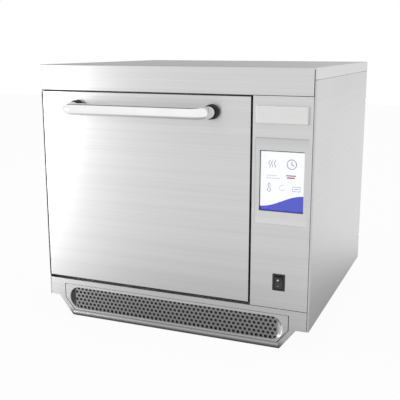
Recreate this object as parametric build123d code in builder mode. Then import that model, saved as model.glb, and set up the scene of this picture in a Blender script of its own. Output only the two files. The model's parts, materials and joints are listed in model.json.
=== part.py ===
"""Countertop speed oven: hot air and microwaves behind a drop-down door, with a control panel at its right.

Millimetres, +Z up. X runs to the right as seen from the front, Y runs into the depth of the oven.
The origin is at the middle of the floor print, level with the undersides of the feet.
"""
import os
from build123d import *

# Whole casing
body_width = 598
body_depth = 551
body_height = 512
foot_height = 45
handle_reach = 65
rear_reach = 6
casing_sheet = 1.2
chassis_sheet = 1.5
seat_gap = 0.3
overrun = 5

# Side panels and top cover
hem_width = 3.4
hem_depth = 12
hem_round = 3
side_foot_flange = 15
joggle_tab_height = 13
skirt_height = 22
skirt_seam = 0.9
lid_bend_radius = 2.5
corner_slot_depth = 5
corner_slot_width = 1.5
panel_gap = 0.9
notch_length = 17
notch_height = 7
notch_heights = (61, 415.5)

# Base plate, feet and bulkhead
base_flange = 22
base_rear_flange = 12
base_margin = 60
intake_slot_count = 8
intake_slot_width = 40
intake_slot_length = 44
intake_slot_pitch = 50
intake_slot_setback = 23
filter_bay_depth = 18
foot_inset = 55
front_foot_setback = 130
rear_foot_setback = 55
foot_radius = 20
foot_top_radius = 17
bulkhead_foot = 14
bulkhead_top_margin = 20

# Door
door_height = 410
door_foot = 46.6
door_bottom_gap = 6.3
door_top_gap = 3.5
door_panel_gap = 4.4
door_sheet = 1.2
door_return = 36
door_corner_round = 0.9
door_depth = 40
mouth_depth = 44
choke_rise = 2
choke_border = 34
choke_width = 14
seal_width = 9
seal_inset = 6
door_inner_return = 9
seal_clearance = 0.3
insulation_clearance = 0.4

# Door hinge
hinge_depth = 9.5
hinge_rise = 5.9
hinge_inset = 22
hinge_arm_width = 4
hinge_arm_radius = 5
hinge_pin_radius = 3
hinge_fit = 0.05
hinge_cheek = 3
hinge_side_gap = 0.3
hinge_block_depth = 20
hinge_block_height = 28
hinge_web = 3
hinge_foot_width = 22
hinge_foot_height = 36
hinge_foot_sheet = 3
hinge_slot_clearance = 1.2

# Handle
handle_drop = 31.2
handle_left_inset = 86.5
handle_right_inset = 78.7
handle_radius = 12
handle_wall = 1.6
handle_bend_radius = 18
handle_centre_reach = 53
handle_plug_length = 15
bush_radius = 15
bush_face_radius = 14
bush_length = 14
bush_floor = 3
bush_fit = 0.15
handle_screw_radius = 3
handle_screw_head_radius = 5.5
handle_screw_head_height = 3.5
handle_screw_length = 14

# Control panel
control_width = 116.8
panel_seam = 1.2
panel_return = 14
panel_lap = 12
pressed_width = 106
pressed_height = 168.6
pressed_bottom = 212
pressed_depth = 1.2
pressed_corner_radius = 6
screen_width = 88
screen_height = 118.5
screen_margin = 25.5
screen_depth = 5
screen_glass_thickness = 2
gasket_border = 6
screen_corner_radius = 1.5
screen_module_thickness = 12
screen_module_border = 3

# Raised cover plate over the data socket
cover_width = 102
cover_height = 33
cover_thickness = 7
cover_bottom = 407.4
cover_round = 2.6
cover_wall = 2
cover_post_radius = 2
cover_post_length = 9
cover_post_spacing = 74
cover_post_fit = 0.05
socket_width = 14
socket_height = 7
socket_depth = 16
socket_wall = 0.8
socket_flange = 24
socket_window_clearance = 1

# Power switch
switch_height = 95.9
switch_flange_width = 25.5
switch_flange_height = 34.4
switch_flange_thickness = 1.6
switch_flange_round = 1.2
switch_body_width = 22
switch_body_height = 30
switch_body_depth = 26
switch_pocket_width = 16.2
switch_pocket_height = 27.5
switch_pocket_depth = 15
rocker_width = 15.4
rocker_half_height = 12.4
rocker_end_rise = 5.4
rocker_centre_rise = 3.6
rocker_root_half_height = 6.5
rocker_root_drop = 4
rocker_pivot_depth = 4.2
rocker_pivot_radius = 1.6
rocker_tilt = 8
rocker_end_gap = 0.2

# Lower front panel with its intake trough
lip_drop = 44
lip_radius = 6.5
lip_proud = 2.5
lip_end_round = 2.5
trough_depth = 70
trough_top_inset = 25.2
trough_bottom_inset = 59.5
filter_side_inset = 40
filter_bottom_inset = 62.3
filter_top = 29.4
filter_corner_drop = 2.3
filter_bottom_drop = 30.2
filter_gap = 0.7
filter_side_gap = 1.6
magnet_radius = 4
magnet_thickness = 3
magnet_setback = 6
magnet_heights = (5, 21)

# Air filter plate
dish_side_inset = 11.7
dish_top_margin = 5.4
dish_bottom_margin = 4.2
dish_depth = 3.5
dish_end_slope = 12
dish_edge_slope = 1
dish_corner_radius = 24
dish_floor_corner_radius = 11
filter_hole_radius = 3.2
filter_hole_pitch = 9.8
filter_row_pitch = 8.4
filter_row_count = 6
filter_mesh_thickness = 6
filter_mesh_margin = 1.5

# Cavity
cavity_side_margin = 71.6
cavity_height = 155
cavity_depth = 310
cavity_floor_height = 175
fan_chamber_depth = 62
cavity_sheet = 1.2
cavity_flange = 20
stirrer_mouth_radius = 36
ceramic_thickness = 8
ceramic_gap = 0.5
ceramic_corner_radius = 8
cook_plate_margin = 10
cook_plate_thickness = 2
cook_plate_rim_height = 8
cook_plate_corner_radius = 14
baffle_hole_radius = 4
baffle_hole_pitch = 14
baffle_columns = 15
baffle_rows = 8
jacket_thickness = 25
jacket_gap = 0.4
interlock_rise = 395
interlock_spread = 150
plunger_radius = 3
plunger_head_radius = 5
plunger_head_length = 4
plunger_fit = 0.05
plunger_length = 19
plunger_door_gap = 0.1
interlock_bracket_height = 22
interlock_bracket_width = 34
microswitch_width = 10
microswitch_height = 15
microswitch_depth = 26

# Convection fan, heater and motor
fan_radius = 56
fan_plate_thickness = 1.5
fan_blade_count = 10
fan_blade_height = 24
fan_blade_length = 22
fan_blade_thickness = 1.5
fan_hub_radius = 11
fan_hub_length = 30
fan_setback = 12
fan_shaft_radius = 4
fan_shaft_hole_radius = 7
heater_ring_radius = 66
heater_rod_radius = 3.6
heater_leg_spacing = 24
heater_leg_clearance = 0.6
heater_leg_tail = 12
heater_flange_sheet = 2
heater_flange_height = 16
motor_plate_gap = 6
motor_plate_radius = 60
motor_plate_thickness = 3
motor_radius = 42
motor_length = 62
motor_boss_radius = 12
motor_boss_length = 5
fan_shaft_grip = 20
motor_fit = 0.05
standoff_radius = 5
standoff_ring_radius = 54
standoff_count = 3
steam_tube_radius = 17
steam_tube_wall = 1
steam_tube_left = 42
steam_tube_drop = 48
steam_flange_radius = 27
steam_flange_thickness = 2

# Microwave parts
waveguide_height = 40
waveguide_width = 80
waveguide_sheet = 1.5
waveguide_left_overlap = 72
waveguide_right_margin = 34
waveguide_centre_depth = 200
antenna_radius = 9
antenna_drop = 14
magnetron_width = 78
magnetron_length = 92
magnetron_height = 84
magnetron_base_thickness = 3
magnetron_fin_count = 9
magnetron_fin_thickness = 1
magnetron_fin_pitch = 6
magnetron_core_radius = 22
magnetron_filter_height = 24
stirrer_shaft_radius = 3
stirrer_fit = 0.05
stirrer_shaft_clearance = 1
stirrer_blade_count = 4
stirrer_blade_length = 30
stirrer_blade_pitch = 35
stirrer_blade_width = 16
stirrer_blade_thickness = 1.5
stirrer_hub_radius = 7
stirrer_hub_height = 10
stirrer_lift = 12
stirrer_motor_radius = 25
stirrer_motor_height = 22
transformer_left = 60
transformer_setback = 300
transformer_width = 118
transformer_depth = 84
transformer_height = 96
transformer_window_width = 24
transformer_window_height = 56
winding_overhang = 16
winding_gap = 1
capacitor_left = 216
capacitor_setback = 330
capacitor_width = 92
capacitor_depth = 34
capacitor_height = 108
capacitor_terminal_radius = 3
capacitor_terminal_height = 10
capacitor_terminal_spacing = 46

# Cooling fans at the rear
cooler_size = 119
cooler_depth = 38
cooler_bore_radius = 56
cooler_corner_radius = 6
cooler_centre_height = 76
cooler_lefts = (70, 250)
cooler_strut_width = 7
cooler_strut_depth = 4
cooler_hub_radius = 22
cooler_hub_depth = 8
cooler_pin_radius = 3
cooler_pin_length = 20
cooler_fit = 0.05
rotor_cup_radius = 21
rotor_cup_length = 22
rotor_blade_count = 7
rotor_blade_reach = 32
rotor_blade_chord = 19
rotor_blade_thickness = 2
rotor_blade_pitch = 38

# Rear panel
rear_return = 22
vent_slot_length = 26
vent_slot_height = 4.5
vent_column_pitch = 33
vent_row_pitch = 10
vent_columns = 3
vent_rows = 9
upper_vent_columns = 9
upper_vent_rows = 4
upper_vent_height = 440
cord_exit_inset = 58
cord_exit_height = 62
cord_bore_radius = 5.5
strain_relief_radius = 14
strain_relief_neck_radius = 10
strain_relief_neck_length = 18
strain_relief_fit = 0.1
rear_tab_height = 12

# Electrics
board_thickness = 1.6
board_standoff = 9
board_standoff_radius = 3
board_corner_inset = 8
control_board_setback = 300
control_board_length = 150
control_board_bottom = 250
control_board_height = 170
relay_board_setback = 300
relay_board_length = 130
relay_board_bottom = 66
relay_board_height = 150
relay_width = 22
relay_depth = 28
relay_height = 18
relay_pitch = 34
relay_count = 4
chip_size = 26
chip_height = 3
heat_sink_size = 44
heat_sink_height = 16
mains_filter_width = 62
mains_filter_depth = 96
mains_filter_height = 42
mains_filter_rear_inset = 35
mains_filter_right_inset = 22
terminal_width = 60
terminal_depth = 22
terminal_height = 20
terminal_count = 5
terminal_gap = 18
terminal_screw_radius = 3
terminal_screw_depth = 4

# Casing screws
screw_head_radius = 3.2
screw_head_height = 1
screw_shank_radius = 1.8
screw_shank_length = 5
notch_screw_setback = 10
lid_screw_drop = 15
base_screw_rise = 9
edge_screw_shares = (-0.35, 0, 0.35)

# Places worked out from the sizes above
lid_overhang = casing_sheet
front_y = (handle_reach - rear_reach - body_depth) / 2
back_y = front_y + body_depth
left_x = -body_width / 2
right_x = body_width / 2
case_z = foot_height
roof_z = case_z + body_height
seam_z = roof_z - skirt_height - skirt_seam
side_inner_x = right_x - casing_sheet - seat_gap
base_underside_z = case_z + casing_sheet
base_top_z = base_underside_z + chassis_sheet
panel_left_x = left_x + hem_width + panel_gap
panel_right_x = right_x - hem_width - panel_gap

control_right_x = panel_right_x
control_left_x = control_right_x - control_width
control_middle_x = (control_left_x + control_right_x) / 2
door_left_x = panel_left_x
door_right_x = control_left_x - door_panel_gap
door_width = door_right_x - door_left_x
door_middle_x = (door_left_x + door_right_x) / 2
door_bottom_z = case_z + door_foot
door_top_z = door_bottom_z + door_height
door_back_y = front_y + door_depth
skirt_bottom_z = door_top_z + door_top_gap
lower_panel_top_z = door_bottom_z - door_bottom_gap
hinge_y = front_y + hinge_depth
hinge_z = door_bottom_z + hinge_rise
hinge_arm_xs = (door_left_x + hinge_inset, door_right_x - hinge_inset - hinge_arm_width)
handle_z = door_top_z - handle_drop
handle_xs = (door_left_x + handle_left_inset, door_right_x - handle_right_inset)

control_bottom_z = lower_panel_top_z + panel_seam
control_top_z = skirt_bottom_z - panel_seam
pressed_bottom_z = case_z + pressed_bottom
pressed_top_z = pressed_bottom_z + pressed_height
screen_bottom_z = pressed_bottom_z + screen_margin
screen_top_z = screen_bottom_z + screen_height
pressed_face_y = front_y + pressed_depth
pressed_back_y = pressed_face_y + casing_sheet
screen_face_y = pressed_back_y + screen_depth
bulkhead_x = control_left_x + casing_sheet

mouth_y = front_y + mouth_depth
frame_back_y = mouth_y + chassis_sheet
frame_right_x = control_left_x - seat_gap
cavity_width = door_width - cavity_side_margin - cavity_side_margin
cavity_left_x = door_middle_x - cavity_width / 2
cavity_right_x = door_middle_x + cavity_width / 2
cavity_floor_z = case_z + cavity_floor_height
cavity_roof_z = cavity_floor_z + cavity_height
cavity_middle_z = (cavity_floor_z + cavity_roof_z) / 2
baffle_y = frame_back_y + cavity_depth
cavity_back_y = baffle_y + fan_chamber_depth
cavity_outer_back_y = cavity_back_y + cavity_sheet
cavity_underside_z = cavity_floor_z - cavity_sheet
jacket_back_y = cavity_outer_back_y + jacket_gap + jacket_thickness
jacket_bottom_z = cavity_underside_z - jacket_gap - jacket_thickness
waveguide_top_z = cavity_underside_z
waveguide_bottom_z = waveguide_top_z - waveguide_height
waveguide_y = front_y + waveguide_centre_depth
waveguide_right_x = right_x - waveguide_right_margin
stirrer_x = door_middle_x
magnetron_x = waveguide_right_x - magnetron_width / 2 - waveguide_sheet
motor_plate_y = jacket_back_y + motor_plate_gap
rear_inner_y = back_y - casing_sheet
steam_x = cavity_left_x + steam_tube_left
steam_z = cavity_roof_z - steam_tube_drop
cord_x = right_x - cord_exit_inset
cord_z = case_z + cord_exit_height
notch_screw_y = back_y - notch_screw_setback
lid_screw_z = roof_z - lid_screw_drop
base_screw_z = case_z + base_screw_rise
edge_screw_xs = tuple(share * body_width for share in edge_screw_shares)


def facing(y):
    """Plane seen from the front, at depth y: its x is X, its y is Z, and it looks towards -Y."""
    return Plane(origin=(0, y, 0), x_dir=(1, 0, 0), z_dir=(0, -1, 0))


def slab(x_from, x_to, y_from, y_to, z_from, z_to, mode=Mode.ADD):
    """Rectangular block between six bounds, in the part being built."""
    with Locations(((x_from + x_to) / 2, (y_from + y_to) / 2, (z_from + z_to) / 2)):
        Box(x_to - x_from, y_to - y_from, z_to - z_from, mode=mode)


def span(x_from, x_to, y_from, y_to, mode=Mode.ADD):
    """Rectangle between four bounds, in the sketch being drawn."""
    with Locations(((x_from + x_to) / 2, (y_from + y_to) / 2)):
        Rectangle(x_to - x_from, y_to - y_from, mode=mode)


def rounded_span(x_from, x_to, y_from, y_to, radius, mode=Mode.ADD):
    """Rectangle between four bounds with rounded corners, in the sketch being drawn."""
    with Locations(((x_from + x_to) / 2, (y_from + y_to) / 2)):
        RectangleRounded(x_to - x_from, y_to - y_from, radius, mode=mode)


def rod(x, z, y_from, y_to, radius, mode=Mode.ADD):
    """Round bar that runs into the depth, in the part being built."""
    with Locations(Location((x, (y_from + y_to) / 2, z), (90, 0, 0))):
        Cylinder(radius, abs(y_to - y_from), mode=mode)


def post(x, y, z_from, z_to, radius, mode=Mode.ADD):
    """Upright round bar, in the part being built."""
    with Locations((x, y, (z_from + z_to) / 2)):
        Cylinder(radius, abs(z_to - z_from), mode=mode)


def trough_outline(inset, top_z):
    """Closed outline of the intake trough, seen from the front and drawn inset by a wall."""
    bottom_z = case_z - lip_drop + inset
    Polyline(
        (left_x + trough_top_inset + inset, top_z),
        (left_x + trough_top_inset + inset, case_z),
        (left_x + trough_bottom_inset + inset, bottom_z),
        (right_x - trough_bottom_inset - inset, bottom_z),
        (right_x - trough_top_inset - inset, case_z),
        (right_x - trough_top_inset - inset, top_z),
        close=True,
    )


def filter_outline(inset, side_inset):
    """Closed outline of the air filter plate, seen from the front and drawn inset by its gaps."""
    side_x = right_x - filter_side_inset - side_inset
    foot_x = right_x - filter_bottom_inset - side_inset
    Polyline(
        (-side_x, case_z + filter_top - inset),
        (-side_x, case_z - filter_corner_drop),
        (-foot_x, case_z - filter_bottom_drop + inset),
        (foot_x, case_z - filter_bottom_drop + inset),
        (side_x, case_z - filter_corner_drop),
        (side_x, case_z + filter_top - inset),
        close=True,
    )


pieces = {}

# Side panels: a hemmed front edge, a foot flange and a joggled tab that tucks under the top cover
with BuildPart() as left_side_panel:
    slab(left_x, left_x + casing_sheet, front_y, back_y, case_z, seam_z)
    slab(left_x, left_x + hem_width, front_y, front_y + hem_depth, case_z, seam_z)
    fillet(
        left_side_panel.edges().filter_by(Axis.Z).group_by(Axis.Y)[0].sort_by(Axis.X)[0],
        hem_round,
    )
    slab(
        left_x, left_x + side_foot_flange,
        front_y + hem_depth + casing_sheet, rear_inner_y - seat_gap,
        case_z, case_z + casing_sheet,
    )
    slab(
        left_x, left_x + casing_sheet + seat_gap + casing_sheet,
        front_y + hem_depth, rear_inner_y - rear_return - casing_sheet,
        seam_z - casing_sheet, seam_z,
    )
    slab(
        left_x + casing_sheet + seat_gap, left_x + casing_sheet + seat_gap + casing_sheet,
        front_y + hem_depth, rear_inner_y - rear_return - casing_sheet,
        seam_z - casing_sheet, seam_z + joggle_tab_height,
    )
    for height in notch_heights:
        slab(
            left_x - overrun, left_x + casing_sheet + overrun, back_y - notch_length, back_y + overrun,
            case_z + height - notch_height / 2, case_z + height + notch_height / 2,
            mode=Mode.SUBTRACT,
        )
pieces["left_side_panel"] = left_side_panel

with BuildPart() as right_side_panel:
    mirror(left_side_panel.part, about=Plane.YZ)
pieces["right_side_panel"] = right_side_panel

# Top cover: one folded sheet with a deep front skirt and shallow skirts at the sides and the rear
with BuildPart() as top_cover:
    with BuildSketch(Plane.XY.offset(skirt_bottom_z)):
        span(left_x, right_x, front_y, back_y + lid_overhang)
    extrude(amount=roof_z - skirt_bottom_z)
    fillet(top_cover.faces().sort_by(Axis.Z)[-1].edges(), lid_bend_radius)
    slab(
        left_x + casing_sheet, right_x - casing_sheet,
        front_y + casing_sheet, back_y + lid_overhang - casing_sheet,
        skirt_bottom_z - overrun, roof_z - casing_sheet,
        mode=Mode.SUBTRACT,
    )
    slab(
        left_x - overrun, right_x + overrun,
        front_y + corner_slot_depth, back_y + lid_overhang + overrun,
        skirt_bottom_z - overrun, roof_z - skirt_height,
        mode=Mode.SUBTRACT,
    )
    for side in (-1, 1):
        hem_x = side * (right_x - hem_width)
        gap_x = side * panel_right_x
        slot_x = side * (right_x - hem_width - corner_slot_width)
        slab(
            min(hem_x, slot_x), max(hem_x, slot_x),
            front_y - overrun, front_y + corner_slot_depth,
            skirt_bottom_z - overrun, roof_z - lid_bend_radius - casing_sheet,
            mode=Mode.SUBTRACT,
        )
        outer_x = side * (right_x + overrun)
        slab(
            min(outer_x, gap_x), max(outer_x, gap_x),
            front_y - overrun, front_y + corner_slot_depth + overrun,
            skirt_bottom_z - overrun, roof_z - skirt_height,
            mode=Mode.SUBTRACT,
        )
    for screw_x in edge_screw_xs:
        rod(
            screw_x, lid_screw_z, back_y, back_y + lid_overhang + overrun,
            screw_shank_radius + seat_gap, mode=Mode.SUBTRACT,
        )
pieces["top_cover"] = top_cover

# Rear panel: vents over the cooling fans and under the top, a cord hole and a steam outlet hole
with BuildPart() as rear_panel:
    slab(-side_inner_x, side_inner_x, rear_inner_y, back_y, case_z, seam_z + rear_tab_height)
    for side in (-1, 1):
        outer_x = side * side_inner_x
        inner_x = side * (side_inner_x - casing_sheet)
        slab(
            min(outer_x, inner_x), max(outer_x, inner_x), rear_inner_y - rear_return, rear_inner_y,
            base_top_z + seat_gap, seam_z - casing_sheet,
        )
    with BuildSketch(facing(back_y)):
        for cooler_left in cooler_lefts:
            with Locations((left_x + cooler_left + cooler_size / 2, case_z + cooler_centre_height)):
                with GridLocations(vent_column_pitch, vent_row_pitch, vent_columns, vent_rows):
                    SlotOverall(vent_slot_length, vent_slot_height)
        with Locations((0, case_z + upper_vent_height)):
            with GridLocations(vent_column_pitch, vent_row_pitch, upper_vent_columns, upper_vent_rows):
                SlotOverall(vent_slot_length, vent_slot_height)
        with Locations((cord_x, cord_z)):
            Circle(strain_relief_neck_radius)
        with Locations((steam_x, steam_z)):
            Circle(steam_tube_radius + seat_gap)
        for screw_x in edge_screw_xs:
            for screw_z in (base_screw_z, lid_screw_z):
                with Locations((screw_x, screw_z)):
                    Circle(screw_shank_radius + seat_gap)
    extrude(amount=casing_sheet + overrun, both=True, mode=Mode.SUBTRACT)
    for height in notch_heights:
        with Locations(Location((0, notch_screw_y, case_z + height), (0, 90, 0))):
            Cylinder(screw_shank_radius + seat_gap, body_width, mode=Mode.SUBTRACT)
pieces["rear_panel"] = rear_panel

# Base plate: a tray with turned-up sides and air slots above the intake trough
with BuildPart() as base_plate:
    slab(
        -side_inner_x, side_inner_x, front_y + casing_sheet + seat_gap, rear_inner_y,
        base_underside_z, base_top_z,
    )
    slab(
        -side_inner_x + base_margin, side_inner_x - base_margin, rear_inner_y - chassis_sheet, rear_inner_y,
        base_underside_z, base_top_z + base_rear_flange,
    )
    for side in (-1, 1):
        outer_x = side * (side_inner_x - casing_sheet - seat_gap)
        inner_x = side * (side_inner_x - casing_sheet - seat_gap - chassis_sheet)
        slab(
            min(outer_x, inner_x), max(outer_x, inner_x), front_y + base_margin, back_y - base_margin,
            base_underside_z, base_top_z + base_flange,
        )
        hem_x = side * (right_x - hem_width - seat_gap)
        edge_x = side * right_x
        slab(
            min(hem_x, edge_x), max(hem_x, edge_x), front_y, front_y + hem_depth + seat_gap,
            base_underside_z - overrun, base_top_z + overrun, mode=Mode.SUBTRACT,
        )
    for screw_x in edge_screw_xs:
        rod(
            screw_x, base_screw_z, rear_inner_y - chassis_sheet - overrun, rear_inner_y + overrun,
            screw_shank_radius + seat_gap, mode=Mode.SUBTRACT,
        )
    slab(
        left_x + filter_side_inset - magnet_setback - overrun,
        right_x - filter_side_inset + magnet_setback + overrun,
        front_y, front_y + filter_bay_depth, base_underside_z - overrun, base_top_z + overrun,
        mode=Mode.SUBTRACT,
    )
    slot_y = front_y + intake_slot_setback + intake_slot_length / 2
    with BuildSketch(Plane.XY.offset(base_top_z)):
        with Locations((0, slot_y)):
            with GridLocations(intake_slot_pitch, intake_slot_pitch, intake_slot_count, 1):
                Rectangle(intake_slot_width, intake_slot_length)
    extrude(amount=overrun, both=True, mode=Mode.SUBTRACT)
pieces["base_plate"] = base_plate

# Feet: four tapered rubber feet under the base plate
with BuildPart() as feet:
    for foot_y in (front_y + front_foot_setback, back_y - rear_foot_setback):
        for foot_x in (left_x + foot_inset, right_x - foot_inset):
            with Locations((foot_x, foot_y, base_underside_z / 2)):
                Cone(foot_top_radius, foot_radius, base_underside_z, rotation=(180, 0, 0))
pieces["feet"] = feet

# Bulkhead between the oven and the electrics
with BuildPart() as bulkhead:
    slab(
        bulkhead_x, bulkhead_x + chassis_sheet, mouth_y, rear_inner_y - rear_return,
        base_top_z, seam_z - bulkhead_top_margin,
    )
    slab(
        bulkhead_x, bulkhead_x + bulkhead_foot, frame_back_y, rear_inner_y - rear_return,
        base_top_z, base_top_z + chassis_sheet,
    )
    slab(
        bulkhead_x - overrun, bulkhead_x + bulkhead_foot + overrun,
        waveguide_y - waveguide_width / 2 - seat_gap, waveguide_y + waveguide_width / 2 + seat_gap,
        waveguide_bottom_z - seat_gap, waveguide_top_z + seat_gap,
        mode=Mode.SUBTRACT,
    )
pieces["bulkhead"] = bulkhead

# Front frame: the plate that the door closes against, with a lintel above the door
with BuildPart() as front_frame:
    slab(-side_inner_x, frame_right_x, mouth_y, frame_back_y, base_top_z, seam_z - casing_sheet - seat_gap)
    slab(
        panel_left_x, frame_right_x, front_y + casing_sheet + seat_gap, mouth_y,
        skirt_bottom_z, skirt_bottom_z + chassis_sheet,
    )
    slab(
        -side_inner_x + base_flange, frame_right_x, frame_back_y, frame_back_y + bulkhead_foot,
        base_top_z, base_top_z + chassis_sheet,
    )
    with BuildSketch(facing(mouth_y)):
        span(cavity_left_x, cavity_right_x, cavity_floor_z, cavity_roof_z)
        for arm_x in hinge_arm_xs:
            span(
                arm_x - hinge_side_gap, arm_x + hinge_arm_width + hinge_side_gap,
                hinge_z - hinge_arm_radius - hinge_side_gap, hinge_z + hinge_arm_radius + hinge_side_gap,
            )
        with Locations((door_middle_x, door_bottom_z + interlock_rise)):
            with GridLocations(interlock_spread, interlock_spread, 3, 1):
                Circle(plunger_radius + plunger_fit)
    extrude(amount=overrun, both=True, mode=Mode.SUBTRACT)
pieces["front_frame"] = front_frame

# Control panel: a folded sheet with a shallow pressed field round the screen
with BuildPart() as control_panel:
    with BuildSketch(facing(front_y)):
        span(control_left_x, control_right_x, control_bottom_z, control_top_z)
    extrude(amount=-casing_sheet)
    slab(
        control_left_x, control_left_x + casing_sheet, front_y, mouth_y + panel_lap,
        control_bottom_z, control_top_z,
    )
    for return_z in (control_bottom_z, control_top_z - casing_sheet):
        slab(
            control_left_x, control_right_x, front_y, front_y + panel_return,
            return_z, return_z + casing_sheet,
        )
    slab(
        control_right_x - casing_sheet, control_right_x, front_y, front_y + panel_return,
        control_bottom_z, control_top_z,
    )
    with BuildSketch(facing(front_y)):
        rounded_span(
            control_middle_x - pressed_width / 2, control_middle_x + pressed_width / 2,
            pressed_bottom_z, pressed_top_z, pressed_corner_radius,
        )
    extrude(amount=-pressed_depth, mode=Mode.SUBTRACT)
    with BuildSketch(facing(pressed_face_y)):
        rounded_span(
            control_middle_x - pressed_width / 2 - casing_sheet,
            control_middle_x + pressed_width / 2 + casing_sheet,
            pressed_bottom_z - casing_sheet, pressed_top_z + casing_sheet,
            pressed_corner_radius + casing_sheet,
        )
    extrude(amount=-casing_sheet)
    with BuildSketch(facing(front_y)):
        rounded_span(
            control_middle_x - screen_width / 2, control_middle_x + screen_width / 2,
            screen_bottom_z, screen_top_z, screen_corner_radius,
        )
        with Locations((control_middle_x, case_z + cover_bottom + cover_height / 2)):
            Rectangle(socket_width + socket_window_clearance, socket_height + socket_window_clearance)
            with GridLocations(cover_post_spacing, cover_post_spacing, 2, 1):
                Circle(cover_post_radius + cover_post_fit)
        with Locations((control_middle_x, case_z + switch_height)):
            Rectangle(switch_body_width + seat_gap, switch_body_height + seat_gap)
    extrude(amount=pressed_depth + casing_sheet + overrun, both=True, mode=Mode.SUBTRACT)
pieces["control_panel"] = control_panel

# Screen: gasket behind the panel, glass on the gasket, display module behind the glass
screen_middle_z = (screen_bottom_z + screen_top_z) / 2
gasket_width = screen_width + gasket_border + gasket_border
gasket_height = screen_height + gasket_border + gasket_border
with BuildPart() as screen_gasket:
    with BuildSketch(facing(pressed_back_y)):
        with Locations((control_middle_x, screen_middle_z)):
            Rectangle(gasket_width, gasket_height)
            RectangleRounded(screen_width, screen_height, screen_corner_radius, mode=Mode.SUBTRACT)
    extrude(amount=-screen_depth)
pieces["screen_gasket"] = screen_gasket

with BuildPart() as touch_glass:
    with BuildSketch(facing(screen_face_y)):
        with Locations((control_middle_x, screen_middle_z)):
            Rectangle(gasket_width, gasket_height)
    extrude(amount=-screen_glass_thickness)
pieces["touch_glass"] = touch_glass

with BuildPart() as screen_module:
    with BuildSketch(facing(screen_face_y + screen_glass_thickness)):
        with Locations((control_middle_x, screen_middle_z)):
            Rectangle(screen_width + screen_module_border, screen_height + screen_module_border)
    extrude(amount=-screen_module_thickness)
pieces["screen_module"] = screen_module

# Raised cover plate: a hollow moulding whose two posts plug into the control panel
cover_middle_z = case_z + cover_bottom + cover_height / 2
with BuildPart() as socket_cover:
    with BuildSketch(facing(front_y)):
        with Locations((control_middle_x, cover_middle_z)):
            RectangleRounded(cover_width, cover_height, cover_round)
    extrude(amount=cover_thickness)
    fillet(socket_cover.faces().sort_by(Axis.Y)[0].edges(), cover_round)
    with BuildSketch(facing(front_y)):
        with Locations((control_middle_x, cover_middle_z)):
            Rectangle(cover_width - cover_wall - cover_wall, cover_height - cover_wall - cover_wall)
    extrude(amount=cover_thickness - cover_wall, mode=Mode.SUBTRACT)
    for side in (-1, 1):
        rod(
            control_middle_x + side * cover_post_spacing / 2, cover_middle_z,
            front_y - cover_thickness + cover_wall, front_y + cover_post_length, cover_post_radius,
        )
pieces["socket_cover"] = socket_cover

# Data socket: a metal shell on a flange behind the control panel
with BuildPart() as data_socket:
    with BuildSketch(facing(front_y + casing_sheet)):
        with Locations((control_middle_x, cover_middle_z)):
            Rectangle(socket_flange, socket_height + socket_window_clearance + socket_wall + socket_wall)
            Rectangle(
                socket_width - socket_wall - socket_wall, socket_height - socket_wall - socket_wall,
                mode=Mode.SUBTRACT,
            )
    extrude(amount=-socket_wall)
    with BuildSketch(facing(front_y)):
        with Locations((control_middle_x, cover_middle_z)):
            Rectangle(socket_width, socket_height)
            Rectangle(
                socket_width - socket_wall - socket_wall, socket_height - socket_wall - socket_wall,
                mode=Mode.SUBTRACT,
            )
    extrude(amount=-socket_depth)
    slab(
        control_middle_x - socket_width / 2, control_middle_x + socket_width / 2,
        front_y + socket_depth - socket_wall, front_y + socket_depth,
        cover_middle_z - socket_height / 2, cover_middle_z + socket_height / 2,
    )
pieces["data_socket"] = data_socket

# Power switch: housing with a pocket, and the rocker that tilts in it
switch_z = case_z + switch_height
switch_face_y = front_y - switch_flange_thickness
rocker_pivot_y = switch_face_y + rocker_pivot_depth
with BuildPart() as switch_housing:
    with BuildSketch(facing(front_y)):
        with Locations((control_middle_x, switch_z)):
            RectangleRounded(switch_flange_width, switch_flange_height, switch_flange_round)
    extrude(amount=switch_flange_thickness)
    chamfer(switch_housing.faces().sort_by(Axis.Y)[0].edges(), switch_flange_thickness / 2)
    with BuildSketch(facing(front_y)):
        with Locations((control_middle_x, switch_z)):
            Rectangle(switch_body_width, switch_body_height)
    extrude(amount=-switch_body_depth)
    with BuildSketch(facing(switch_face_y)):
        with Locations((control_middle_x, switch_z)):
            Rectangle(switch_pocket_width, switch_pocket_height)
    extrude(amount=-switch_pocket_depth, mode=Mode.SUBTRACT)
    with Locations(Location((control_middle_x, rocker_pivot_y, switch_z), (0, 90, 0))):
        Cylinder(
            rocker_pivot_radius + hinge_fit, switch_body_width - casing_sheet - casing_sheet,
            mode=Mode.SUBTRACT,
        )
pieces["switch_housing"] = switch_housing

with BuildPart() as power_rocker:
    side_plane = Plane(
        origin=(control_middle_x - rocker_width / 2, rocker_pivot_y, switch_z),
        x_dir=(0, -1, 0),
        z_dir=(1, 0, 0),
    )
    with BuildSketch(side_plane.rotated((rocker_tilt, 0, 0))):
        with BuildLine():
            Polyline(
                (rocker_end_rise, -rocker_half_height),
                (rocker_centre_rise, 0),
                (rocker_end_rise, rocker_half_height),
                (0, rocker_half_height - rocker_end_gap),
                (-rocker_root_drop, rocker_root_half_height),
                (-rocker_root_drop, -rocker_root_half_height),
                (0, -rocker_half_height + rocker_end_gap),
                close=True,
            )
        make_face()
    extrude(amount=rocker_width)
    with Locations(Location((control_middle_x, rocker_pivot_y, switch_z), (0, 90, 0))):
        Cylinder(rocker_pivot_radius, switch_body_width - casing_sheet - casing_sheet - seat_gap)
pieces["power_rocker"] = power_rocker

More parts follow.
